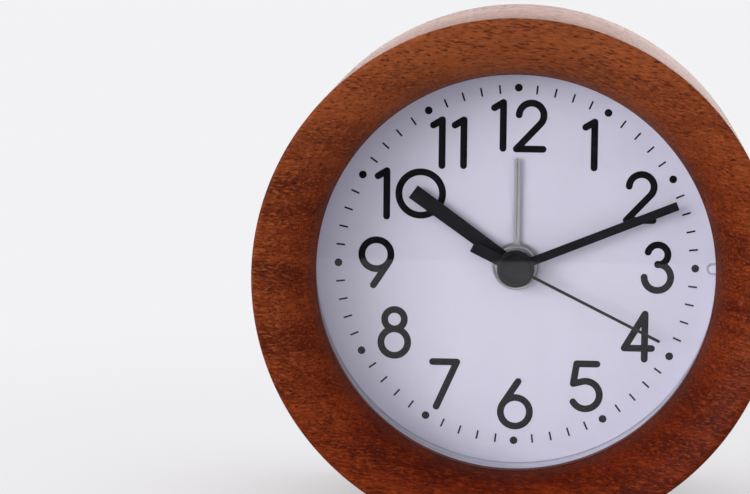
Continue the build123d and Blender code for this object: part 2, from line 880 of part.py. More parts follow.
def coil_winding():
    """Copper winding between the bobbin's flanges."""
    length = bobbin_length() - 2 * coil_flange_thickness
    outer = cross_bar(coil_radius - winding_inset, length, coil_place, coil_y)
    return outer - cross_bar(coil_tube_radius, length, coil_place, coil_y)


def circuit_board():
    """Circuit board on its two posts."""
    end_y = rear_inner_y - board_stand_off
    return block(board_width, board_height, board_middle(), end_y - board_thickness, end_y)


def quartz_crystal():
    """Tuning-fork crystal in its can, lying on the board."""
    board_front_y = rear_inner_y - board_stand_off - board_thickness
    middle = board_middle()
    level = axis_height + middle[1] + crystal_radius
    place = Pos(middle[0] - crystal_radius, board_front_y - crystal_radius, level)
    return place * Cylinder(crystal_radius, crystal_length)


def clock_chip():
    """Drop of resin over the clock's chip."""
    board_front_y = rear_inner_y - board_stand_off - board_thickness
    place = (board_middle()[0], board_low + chip_level)
    drop = round_bar(chip_radius, board_front_y - chip_height, board_front_y, place)
    return fillet(drop.edges().group_by(Axis.Y)[0], chip_height / 2)


def battery_middle():
    """Middle of the battery: level under the hands' axis, and depth."""
    level = -(movement_bottom + tray_gap + tray_wall + battery_clearance + battery_radius)
    return level, cover_back_y - door_thickness - battery_clearance - battery_radius


def tray_half_sizes():
    """Half the inner length and half the inner height of the battery compartment."""
    return (battery_length + battery_nub_length) / 2 + contact_space, battery_radius + battery_clearance


def battery():
    """AA cell lying across the clock."""
    level, middle_y = battery_middle()
    body = cross_bar(battery_radius, battery_length, (-battery_nub_length / 2, level), middle_y)
    body = fillet(body.edges().filter_by(GeomType.CIRCLE), battery_edge_radius)
    return body + cross_bar(battery_nub_radius, battery_nub_length, (battery_length / 2, level), middle_y)


def battery_contact(side):
    """Bent spring strip between the battery's end and the wall of its compartment."""
    level, middle_y = battery_middle()
    wall_x = tray_half_sizes()[0]
    bulge_x = (battery_length + battery_nub_length) / 2 + running_clearance
    half_height = battery_radius * contact_height_share
    centre_line = (
        (wall_x - contact_thickness, -half_height),
        (bulge_x, -contact_thickness),
        (bulge_x, contact_thickness),
        (wall_x - contact_thickness, half_height),
    )
    outline = [(side * x, middle_y + y) for x, y in centre_line]
    outline += [(side * (x + contact_thickness), middle_y + y) for x, y in reversed(centre_line)]
    strip = extrude(make_face(Polyline(*outline, close=True)), amount=contact_width / 2, both=True)
    return Pos(0, 0, axis_height + level) * strip


def buzzer():
    """Brass disc with its ceramic face, seated on the ring inside the cover."""
    ring_y = cover_front_y - buzzer_ring_height
    plate = round_bar(buzzer_radius, ring_y - buzzer_thickness, ring_y, buzzer_place)
    return plate + round_bar(buzzer_disc_radius, ring_y, ring_y + buzzer_disc_thickness, buzzer_place)


def switch_place():
    """Middle of the alarm switch in x and z."""
    return (-switch_left, switch_height)


def switch_slot(clearance):
    """Slot that the switch's stem runs in, over its whole travel."""
    return Pos(*switch_place()) * Rectangle(
        switch_stem_width + 2 * clearance, switch_stem_length + switch_travel + 2 * clearance
    )


def alarm_switch_body():
    """Slide switch under the cover, hollow where its stem runs."""
    start_y = cover_front_y - switch_body_depth
    body = block(switch_body_width, switch_body_length, switch_place(), start_y, cover_front_y)
    return body - raised(switch_slot(switch_clearance), start_y + switch_wall, cover_front_y)


def alarm_switch_slider():
    """Stem and thumb piece of the alarm switch, in the off position."""
    place = (switch_place()[0], switch_place()[1] - switch_travel / 2)
    stem_y = cover_front_y - switch_body_depth + switch_wall + switch_clearance
    cap_y = cover_back_y + switch_clearance
    cap = block(switch_cap_width, switch_cap_length, place, cap_y, cap_y + switch_cap_height)
    groove_y = cap_y + switch_cap_height / 2
    cap -= block(switch_cap_width, driver_slot_width, place, groove_y, cap_y + switch_cap_height)
    return cap + block(switch_stem_width, switch_stem_length, place, stem_y, cap_y)


def door_place():
    """Middle of the battery door's opening in x and z."""
    return (0, battery_middle()[0])


def tab_places(level):
    """Places of the door's two tabs at a level."""
    return [(side * door_tab_spacing / 2, level) for side in (-1, 1)]


def back_cover():
    """Moulded back: battery compartment, knob wells, sound slots, buzzer ring and switch slot."""
    half_length, half_height = tray_half_sizes()
    tray_y = battery_middle()[1] - battery_radius - battery_clearance - tray_wall
    opening_low = battery_middle()[0] - half_height
    cover = round_bar(back_recess_radius - cover_clearance, cover_front_y, cover_back_y)
    cover = fillet(cover.edges().group_by(Axis.Y)[-1], cap_edge_radius)
    cover += block(
        2 * (half_length + tray_wall), 2 * (half_height + tray_wall), door_place(), tray_y, cover_front_y
    )
    cover -= block(2 * half_length, 2 * half_height, door_place(), tray_y + tray_wall, cover_back_y)
    slot_depth = door_tab_thickness + door_tab_length / 2
    for place in tab_places(opening_low - tray_wall / 2):
        slot_width = door_tab_width + 2 * door_clearance
        cover -= block(slot_width, tray_wall, place, cover_front_y - slot_depth, cover_front_y)
    for place in (setting_place, alarm_place):
        cover -= round_bar(knob_well_radius, cover_back_y - knob_well_depth, cover_back_y, place)
        cover -= round_bar(setting_shaft_radius + shaft_clearance, cover_front_y, cover_back_y, place)
    cover += tube(
        buzzer_radius,
        buzzer_radius - buzzer_ring_width,
        cover_front_y - buzzer_ring_height,
        cover_front_y,
        buzzer_place,
    )
    for step in range(-sound_slot_half_count, sound_slot_half_count + 1):
        rise = step * sound_slot_pitch
        reach = sqrt(buzzer_disc_radius**2 - rise**2) * 2
        slot = Pos(buzzer_place[0], buzzer_place[1] + rise) * SlotOverall(reach, sound_slot_width)
        cover -= raised(slot, cover_front_y, cover_back_y)
    cover -= raised(switch_slot(switch_clearance), cover_front_y, cover_back_y)
    for place in cover_screw_places():
        cover -= round_bar(cover_screw_radius + screw_hole_clearance, cover_front_y, cover_back_y, place)
    return cover


def battery_door():
    """Flush door with two tabs under the cover's lower edge and a ribbed grip at the top."""
    half_length, half_height = tray_half_sizes()
    low = battery_middle()[0] - half_height + door_clearance
    start_y = cover_back_y - door_thickness
    door = block(
        2 * (half_length - door_clearance),
        2 * (half_height - door_clearance),
        door_place(),
        start_y,
        cover_back_y,
    )
    tab_end_y = cover_front_y - shaft_clearance
    for place in tab_places(low):
        root = (place[0], low + door_tab_length / 2)
        door += block(door_tab_width, door_tab_length, root, tab_end_y - door_tab_thickness, start_y)
        door += block(door_tab_width, 2 * door_tab_length, place, tab_end_y - door_tab_thickness, tab_end_y)
    grip = (0, battery_middle()[0] + half_height - door_clearance - door_grip_width)
    recess = Pos(*grip) * SlotOverall(door_grip_length, door_grip_width)
    for step in range(door_grip_ribs):
        across = (step + 1) * door_grip_length / (door_grip_ribs + 1) - door_grip_length / 2
        recess -= Pos(grip[0] + across, grip[1]) * Rectangle(door_rib_width, door_grip_width)
    return door - raised(recess, cover_back_y - door_grip_depth, cover_back_y)


def pan_screw(place, seat_y, shank, head, head_height, length):
    """Pan-head screw that enters forward from its seat, with a slotted head."""
    screw = round_bar(head, seat_y, seat_y + head_height, place)
    screw = fillet(screw.edges().group_by(Axis.Y)[-1], head_height / 2)
    screw += round_bar(shank, seat_y - length, seat_y, place)
    top_y = seat_y + head_height
    slot = block(2 * head, driver_slot_width, place, top_y - driver_slot_depth, top_y)
    return screw - slot


def cover_screws():
    """Three screws through the back cover into the dial housing's bosses."""
    length = cover_screw_length - screw_end_gap
    return Compound(
        [
            pan_screw(
                place,
                cover_back_y,
                cover_screw_radius,
                cover_screw_head_radius,
                cover_screw_head_height,
                length,
            )
            for place in cover_screw_places()
        ]
    )


def movement_screws():
    """Two screws through the movement's ears into the dial housing's posts."""
    length = movement_screw_length - screw_end_gap
    return Compound(
        [
            pan_screw(
                place,
                split_y,
                movement_screw_radius,
                movement_screw_head_radius,
                movement_screw_head_height,
                length,
            )
            for place in ear_places()
        ]
    )


def clock():
    """Every piece of the clock by name."""
    pieces = {
        "wooden_case": wooden_case(),
        "foot_pads": foot_pads(),
        "lens": lens(),
        "dial": dial(),
        "dial_housing": dial_housing(),
        "alarm_hand": alarm_hand(),
        "hour_hand": hour_hand(),
        "minute_hand": minute_hand(),
        "second_hand": second_hand(),
        "hand_cap": hand_cap(),
        "movement_front_housing": movement_front_housing(),
        "bridge_plate": bridge_plate(),
        "movement_rear_housing": movement_rear_housing(),
        "clutch_spring": clutch_spring(),
        "rotor_magnet": rotor_magnet(),
        "stator": stator(),
        "coil_core": coil_core(),
        "coil_bobbin": coil_bobbin(),
        "coil_winding": coil_winding(),
        "circuit_board": circuit_board(),
        "quartz_crystal": quartz_crystal(),
        "clock_chip": clock_chip(),
        "time_setting_knob": knob(setting_place),
        "alarm_setting_knob": knob(alarm_place),
        "battery": battery(),
        "battery_contact_positive": battery_contact(1),
        "battery_contact_negative": battery_contact(-1),
        "buzzer": buzzer(),
        "alarm_switch_body": alarm_switch_body(),
        "alarm_switch_slider": alarm_switch_slider(),
        "back_cover": back_cover(),
        "battery_door": battery_door(),
        "cover_screws": cover_screws(),
        "movement_screws": movement_screws(),
    }
    pieces.update(gear_train())
    return pieces


os.makedirs("parts", exist_ok=True)
for name, piece in clock().items():
    export_step(piece, f"parts/{name}.step")
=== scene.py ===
"""Visual model of a round wooden desk alarm clock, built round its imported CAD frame.

Lengths are millimetres on the clock's own axes: x to the right, y away from the viewer and z up. A piece is
modelled with its outline measured from the hands' axis, and mm() turns lengths to metres.
"""

import json
import logging
from contextlib import contextmanager
from dataclasses import dataclass
from enum import Enum
from math import asin, atan2, cos, hypot, pi, radians, sin
from typing import Iterator, Sequence

import bpy
from bpy.types import Material, Node, NodeSocket, NodeTree, Object
from mathutils import Matrix, Vector


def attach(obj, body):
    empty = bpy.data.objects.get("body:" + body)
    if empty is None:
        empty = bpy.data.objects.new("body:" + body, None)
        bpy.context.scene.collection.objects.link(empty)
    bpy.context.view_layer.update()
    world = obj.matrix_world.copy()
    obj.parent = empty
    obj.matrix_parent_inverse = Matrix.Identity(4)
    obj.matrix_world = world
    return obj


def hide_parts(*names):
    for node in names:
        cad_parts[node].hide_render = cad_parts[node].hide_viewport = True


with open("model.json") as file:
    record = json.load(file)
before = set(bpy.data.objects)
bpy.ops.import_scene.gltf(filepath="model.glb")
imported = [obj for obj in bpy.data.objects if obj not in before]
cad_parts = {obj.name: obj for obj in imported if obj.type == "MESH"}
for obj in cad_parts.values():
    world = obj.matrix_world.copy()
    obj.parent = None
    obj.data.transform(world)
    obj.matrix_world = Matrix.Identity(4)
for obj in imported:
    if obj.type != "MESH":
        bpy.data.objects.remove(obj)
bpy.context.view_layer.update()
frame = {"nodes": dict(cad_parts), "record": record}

log = logging.getLogger("desk_clock")

Point = tuple[float, float]
Triple = tuple[float, float, float]
# A range of values and the range that it is mapped to
Range = tuple[float, float, float, float]
AXIS_HEIGHT = 47.0
FRONT_Y = -24.0
BACK_Y = 24.0
HALF_PI = pi / 2
# Vertices nearer to each other than this are one
MERGE_DISTANCE = 0.001
# How far a cutter passes the face that it goes through
PASS = 1.0
# Facets round broad, middling and small turned pieces and round holes
BROAD, MIDDLING, SMALL, HOLE = 96, 72, 48, 32
# Chords of a small corner, a slot's end and a wide curve
CORNER, END, CURVE = 6, 12, 36


class Pattern(Enum):
    """How a finish's surface was made."""

    MOULDED = "moulded"
    BRUSHED = "brushed"
    TURNED = "turned"


def mm(length: float) -> float:
    """Millimetres to metres."""
    return length / 1000


def linear(colour: str) -> tuple[float, float, float, float]:
    """Turn an sRGB hex colour to Blender's linear colour.

    Args:
        colour: six hex digits after a hash mark.

    Returns:
        Red, green, blue and an alpha of one.
    """
    parts = [int(colour[start : start + 2], 16) / 255 for start in (1, 3, 5)]
    red, green, blue = (p / 12.92 if p <= 0.04045 else ((p + 0.055) / 1.055) ** 2.4 for p in parts)
    return red, green, blue, 1.0


def polar(radius: float, angle: float, start: Point = (0.0, 0.0)) -> Point:
    """Point at a radius and an angle from a start point."""
    return start[0] + radius * cos(angle), start[1] + radius * sin(angle)


def arc(centre: Point, radius: float, start: float, end: float, steps: int = 24) -> list[Point]:
    """Points along an arc.

    Args:
        centre: middle of the arc.
        radius: its radius.
        start: first angle in degrees.
        end: last angle in degrees.
        steps: number of chords.

    Returns:
        The points, with both ends.
    """
    return [polar(radius, radians(start + (end - start) * step / steps), centre) for step in range(steps + 1)]


def circle(radius: float, centre: Point = (0.0, 0.0), steps: int = SMALL) -> list[Point]:
    """Outline of a circle."""
    return arc(centre, radius, 0, 360, steps)[:-1]


def turned(outline: Sequence[Point], angle: float) -> list[Point]:
    """Outline turned about the hands' axis by an angle in degrees."""
    cosine, sine = cos(radians(angle)), sin(radians(angle))
    return [(x * cosine - z * sine, x * sine + z * cosine) for x, z in outline]


def other_leg(hypotenuse: float, leg: float) -> float:
    """Other leg of a right triangle."""
    return (hypotenuse**2 - leg**2) ** 0.5


def ring_section(inner: float, outer: float, front: float, back: float) -> list[Point]:
    """Rectangular profile to turn: a ring, or a disc where the inner radius is zero."""
    return [(inner, front), (outer, front), (outer, back), (inner, back)]


def rounded_box(low: Point, high: Point, corner: float) -> list[Point]:
    """Outline of a rectangle with rounded corners."""
    right, top, left, foot = high[0] - corner, high[1] - corner, low[0] + corner, low[1] + corner
    outline = []
    for turn, centre in enumerate(((right, top), (left, top), (left, foot), (right, foot))):
        outline += arc(centre, corner, 90 * turn, 90 * turn + 90, CORNER)
    return outline


def slot_outline(left: float, right: float, level: float, half: float, steps: int) -> list[Point]:
    """Outline of a level slot with round ends about two centres, half its width in radius."""
    return arc((right, level), half, -90, 90, steps) + arc((left, level), half, 90, 270, steps)


# --- modelling with operators -------------------------------------------------------------------------------


def deselect() -> None:
    """Leave object mode's selection empty."""
    if bpy.context.mode != "OBJECT":
        bpy.ops.object.mode_set(mode="OBJECT")
    bpy.ops.object.select_all(action="DESELECT")


def activate(piece: Object) -> None:
    """Select one piece alone and make it active."""
    deselect()
    piece.select_set(True)
    bpy.context.view_layer.objects.active = piece


@contextmanager
def edit_mesh(piece: Object) -> Iterator[None]:
    """Edit a piece's mesh, with all of it selected at first."""
    activate(piece)
    bpy.ops.object.mode_set(mode="EDIT")
    bpy.ops.mesh.select_all(action="SELECT")
    yield
    bpy.ops.object.mode_set(mode="OBJECT")


def link_new(name: str, data: bpy.types.ID) -> Object:
    """New object round its data, in the scene."""
    made = bpy.data.objects.new(name, data)
    bpy.context.scene.collection.objects.link(made)
    return made


def settle(piece: Object) -> Object:
    """Move a piece's place, turn and size into its mesh."""
    activate(piece)
    bpy.ops.object.transform_apply(location=True, rotation=True, scale=True)
    return piece


def tidy_mesh(piece: Object) -> Object:
    """Merge doubled vertices and turn every face outwards."""
    with edit_mesh(piece):
        bpy.ops.mesh.remove_doubles(threshold=mm(MERGE_DISTANCE))
        bpy.ops.mesh.normals_make_consistent(inside=False)
    return piece


def turn_profile(
    name: str, profile: Sequence[Point], steps: int = BROAD, place: Point = (0.0, 0.0), closed: bool = True
) -> Object:
    """Turn a profile round an axis along y, as on a lathe.

    Args:
        name: name of the new piece.
        profile: radius and depth of each point, in order.
        steps: facets round the axis.
        place: x and z of the axis, from the hands' axis.
        closed: whether the last point joins the first.

    Returns:
        The turned piece.
    """
    deselect()
    bpy.ops.mesh.primitive_plane_add(size=mm(1))
    piece = bpy.context.object
    piece.name = name
    axis_x, axis_z = mm(place[0]), mm(AXIS_HEIGHT + place[1])
    with edit_mesh(piece):
        bpy.ops.mesh.merge(type="CENTER")
        radius, depth = profile[0]
        bpy.ops.transform.translate(value=(axis_x + mm(radius), mm(depth), axis_z))
        for next_radius, next_depth in [*profile[1:], *(profile[:1] if closed else [])]:
            step = (mm(next_radius - radius), mm(next_depth - depth), 0.0)
            bpy.ops.mesh.extrude_region_move(TRANSFORM_OT_translate={"value": step})
            radius, depth = next_radius, next_depth
        bpy.ops.mesh.select_all(action="SELECT")
        bpy.ops.mesh.spin(steps=steps, angle=2 * pi, center=(axis_x, 0.0, axis_z), axis=(0.0, 1.0, 0.0))
    return tidy_mesh(piece)


def raise_outline(name: str, outlines: Sequence[Sequence[Point]], front: float, back: float) -> Object:
    """Raise closed outlines, drawn in x and z from the hands' axis, between two depths.

    Args:
        name: name of the new piece.
        outlines: the outer outline and any holes.
        front: depth of the front face.
        back: depth of the back face.

    Returns:
        The raised piece.
    """
    deselect()
    curve = bpy.data.curves.new(name, "CURVE")
    curve.dimensions = "2D"
    curve.fill_mode = "BOTH"
    curve.extrude = mm(back - front) / 2
    for outline in outlines:
        spline = curve.splines.new("POLY")
        spline.points.add(len(outline) - 1)
        for point, (x, z) in zip(spline.points, outline):
            point.co = (mm(x), mm(z), 0.0, 1.0)
        spline.use_cyclic_u = True
    activate(link_new(name, curve))
    bpy.ops.object.convert(target="MESH")
    piece = bpy.context.object
    piece.name = name
    piece.location = (0.0, mm(front + back) / 2, mm(AXIS_HEIGHT))
    piece.rotation_euler = (HALF_PI, 0.0, 0.0)
    return tidy_mesh(settle(piece))


def add_block(name: str, low: Sequence[float], high: Sequence[float]) -> Object:
    """Block between two corners, with x and z measured from the hands' axis."""
    deselect()
    middle = [mm(a + b) / 2 for a, b in zip(low, high)]
    middle[2] += mm(AXIS_HEIGHT)
    size = [mm(b - a) for a, b in zip(low, high)]
    bpy.ops.mesh.primitive_cube_add(size=1.0, location=middle, scale=size)
    piece = bpy.context.object
    piece.name = name
    return settle(piece)


def apply_modifier(piece: Object, kind: str, **settings: object) -> None:
    """Add a modifier with its settings and apply it."""
    activate(piece)
    modifier = piece.modifiers.new(kind.title(), kind)
    for key, value in settings.items():
        setattr(modifier, key, value)
    bpy.ops.object.modifier_apply(modifier=modifier.name)


def combine(piece: Object, others: Sequence[Object], operation: str) -> Object:
    """Cut other pieces out of one or join them to it, and drop them."""
    for other in others:
        apply_modifier(piece, "BOOLEAN", operation=operation, solver="EXACT", object=other)
        bpy.data.objects.remove(other, do_unlink=True)
    return piece


def cut(piece: Object, *cutters: Object) -> Object:
    """Cut other pieces out of one."""
    return combine(piece, cutters, "DIFFERENCE")


def fuse(piece: Object, *others: Object) -> Object:
    """Join pieces that overlap into one closed skin."""
    return combine(piece, others, "UNION")


def gather(pieces: Sequence[Object], name: str) -> Object:
    """Gather separate shapes in one piece, without joining their skins."""
    activate(pieces[0])
    for piece in pieces:
        piece.select_set(True)
    bpy.ops.object.join()
    whole = bpy.context.view_layer.objects.active
    whole.name = name
    return whole


def copy_to(piece: Object, name: str, offset: Sequence[float]) -> Object:
    """Copy a piece with its own mesh, moved by an offset."""
    twin = link_new(name, piece.data.copy())
    twin.location = Vector([mm(value) for value in offset])
    return settle(twin)


def smooth(piece: Object, angle: float = 32.0) -> None:
    """Shade a piece smooth, with its sharp edges kept."""
    activate(piece)
    bpy.ops.object.shade_smooth_by_angle(angle=radians(angle))


def round_edges(piece: Object, width: float, segments: int = 2, angle: float = 35.0) -> None:
    """Bevel a piece's sharp edges by a width, and shade it smooth between them."""
    limit = {"limit_method": "ANGLE", "angle_limit": radians(angle), "use_clamp_overlap": True}
    apply_modifier(piece, "BEVEL", width=mm(width), segments=segments, **limit)
    smooth(piece)
    apply_modifier(piece, "WEIGHTED_NORMAL", keep_sharp=True)


def finish_piece(piece: Object, material: Material, body: str, slot: str, *nodes: str) -> Object:
    """Give a piece its finish and body, and hide the CAD nodes that it stands for.

    Args:
        piece: the modelled piece.
        material: its finish.
        body: CAD body that it moves with.
        slot: material slot of the record; not used.
        nodes: CAD nodes that it replaces.

    Returns:
        The same piece.
    """
    piece.data.name = piece.name
    piece.data.materials.clear()
    piece.data.materials.append(material)
    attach(piece, body)
    if nodes:
        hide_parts(*nodes)
    log.info("%s: %d faces, on %s", piece.name, len(piece.data.polygons), body)
    return piece


# --- finishes -----------------------------------------------------------------------------------------------


def per_metre(size: float) -> float:
    """Texture scale at which one feature of a pattern spans a size in millimetres."""
    return 1000 / size


@dataclass(frozen=True)
class Noise:
    """Noise by the sizes of its features in millimetres, its finer octaves and how far it bends itself."""

    sizes: Triple
    detail: float = 3.0
    bend: float = 0.0
    fineness: float = 0.55


class NodeGraph:
    """Node tree of a material or of the world in the making."""

    def __init__(self, tree: NodeTree, output: str = "OutputMaterial") -> None:
        """Start an empty tree with its output node."""
        self.tree = tree
        tree.nodes.clear()
        self.output = self.add(output)

    def add(self, kind: str, inputs: dict[object, object] | None = None, **settings: object) -> Node:
        """Add a node with its settings, values and links.

        Args:
            kind: Blender's type name of the node, without its leading ShaderNode.
            inputs: value, or output to link, for each input by its name or number.
            settings: the node's own properties.

        Returns:
            The new node.
        """
        node = self.tree.nodes.new("ShaderNode" + kind)
        for key, value in settings.items():
            setattr(node, key, value)
        for key, value in (inputs or {}).items():
            if isinstance(value, NodeSocket):
                self.tree.links.new(value, node.inputs[key])
            else:
                node.inputs[key].default_value = value
        return node

    def show(self, shader: Node) -> None:
        """Lead a shader to the tree's output."""
        self.tree.links.new(shader.outputs[0], self.output.inputs["Surface"])

    def place(self) -> NodeSocket:
        """The object's own coordinates."""
        return self.add("TexCoord").outputs["Object"]

    def mapped(self, vector: NodeSocket, **inputs: Sequence[float]) -> NodeSocket:
        """Coordinates moved, turned or scaled."""
        return self.add("Mapping", {"Vector": vector, **inputs}).outputs["Vector"]

    def maths(self, operation: str, first: object, second: object, clamp: bool = False) -> NodeSocket:
        """Sum, product or other result of two values, held between zero and one if clamped."""
        return self.add("Math", {0: first, 1: second}, operation=operation, use_clamp=clamp).outputs[0]

    def length(self, vector: NodeSocket) -> NodeSocket:
        """Length of a vector."""
        return self.add("VectorMath", {0: vector}, operation="LENGTH").outputs["Value"]

    def noise(self, place: NodeSocket, noise: Noise) -> NodeSocket:
        """Noise on coordinates."""
        stretched = self.mapped(place, Scale=[per_metre(size) for size in noise.sizes])
        inputs = {"Detail": noise.detail, "Roughness": noise.fineness, "Distortion": noise.bend}
        return self.add("TexNoise", {"Vector": stretched, "Scale": 1.0, **inputs}).outputs[0]

    def ramp(self, value: NodeSocket, stops: Sequence[tuple[float, str]]) -> NodeSocket:
        """Colour ramp over a value, from stops of a place and an sRGB colour."""
        node = self.add("ValToRGB", {"Fac": value})
        elements = node.color_ramp.elements
        while len(elements) < len(stops):
            elements.new(0.5)
        for element, (place, colour) in zip(elements, stops):
            element.position = place
            element.color = linear(colour)
        return node.outputs["Color"]

    def span(self, value: NodeSocket, low: object, high: float, to_low: float, to_high: float) -> NodeSocket:
        """Map a value's range to another, held at both ends."""
        inputs = {"Value": value, "From Min": low, "From Max": high, "To Min": to_low, "To Max": to_high}
        return self.add("MapRange", inputs).outputs["Result"]

    def span_mm(self, value: NodeSocket, limits: Range) -> NodeSocket:
        """Map a length between two limits in millimetres to a share."""
        low, high, to_low, to_high = limits
        return self.span(value, mm(low), mm(high), to_low, to_high)

    def blend(self, factor: object, first: object, second: object, mode: str = "MIX") -> NodeSocket:
        """Blend two colours by a factor."""
        return self.add("Mix", {0: factor, 6: first, 7: second}, data_type="RGBA", blend_type=mode).outputs[2]

    def mix(self, share: NodeSocket, first: Node, second: Node) -> None:
        """Lead a mix of two shaders, by the share of the second, to the output."""
        self.show(self.add("MixShader", {0: share, 1: first.outputs[0], 2: second.outputs[0]}))

    def bump(self, height: NodeSocket, depth: float) -> NodeSocket:
        """Normal raised by a height, whose full swing is a depth in millimetres."""
        inputs = {"Height": height, "Distance": mm(depth), "Strength": 1.0}
        return self.add("Bump", inputs).outputs["Normal"]


def new_material(name: str) -> tuple[Material, NodeGraph]:
    """Empty node material with its graph."""
    material = bpy.data.materials.new(name)
    material.use_nodes = True
    return material, NodeGraph(material.node_tree)


@dataclass(frozen=True)
class Surface:
    """An even material, such as a moulded plastic or a plated metal, with its maker's texture.

    The colour drifts to its shade in broad patches. Grain is the size of the texture in millimetres and
    relief its depth; strokes and patches are given in grains.
    """

    name: str
    colour: str
    shade: str
    roughness: float
    pattern: Pattern = Pattern.MOULDED
    metallic: float = 0.0
    ior: float = 1.5
    grain: float = 0.6
    relief: float = 0.004
    coat: float = 0.0
    specular: float = 0.5
    stroke: float = 30.0
    patch: float = 24.0
    drift: Point = (0.35, 0.65)
    texture_limits: Point = (0.3, 0.7)
    smoothest: float = 0.9
    roughest: float = 1.12

    def texture(self, graph: NodeGraph) -> NodeSocket:
        """Value of the maker's texture: even specks, long strokes or rings about the hands' axis."""
        if self.pattern is Pattern.TURNED:
            centred = graph.mapped(graph.place(), Location=(0.0, 0.0, -mm(AXIS_HEIGHT)))
            # One ring of the wave texture spans 2 pi / 20 of its coordinate at a scale of one
            inputs = {"Vector": centred, "Scale": per_metre(self.grain) * pi / 10, "Distortion": 0.0}
            return graph.add("TexWave", inputs, wave_type="RINGS", rings_direction="Y").outputs[1]
        along = self.grain * self.stroke if self.pattern is Pattern.BRUSHED else self.grain
        return graph.noise(graph.place(), Noise((along, self.grain, self.grain)))

    def material(self) -> Material:
        """Build the node material."""
        material, graph = new_material(self.name)
        texture = self.texture(graph)
        broad = graph.noise(graph.place(), Noise((self.grain * self.patch,) * 3))
        bounds = (self.roughness * self.smoothest, self.roughness * self.roughest)
        inputs = {
            "Base Color": graph.ramp(broad, tuple(zip(self.drift, (self.shade, self.colour)))),
            "Metallic": self.metallic,
            "IOR": self.ior,
            "Specular IOR Level": self.specular,
            "Roughness": graph.span(texture, *self.texture_limits, *bounds),
            "Coat Weight": self.coat,
            "Normal": graph.bump(texture, self.relief),
        }
        graph.show(graph.add("BsdfPrincipled", inputs))
        return material


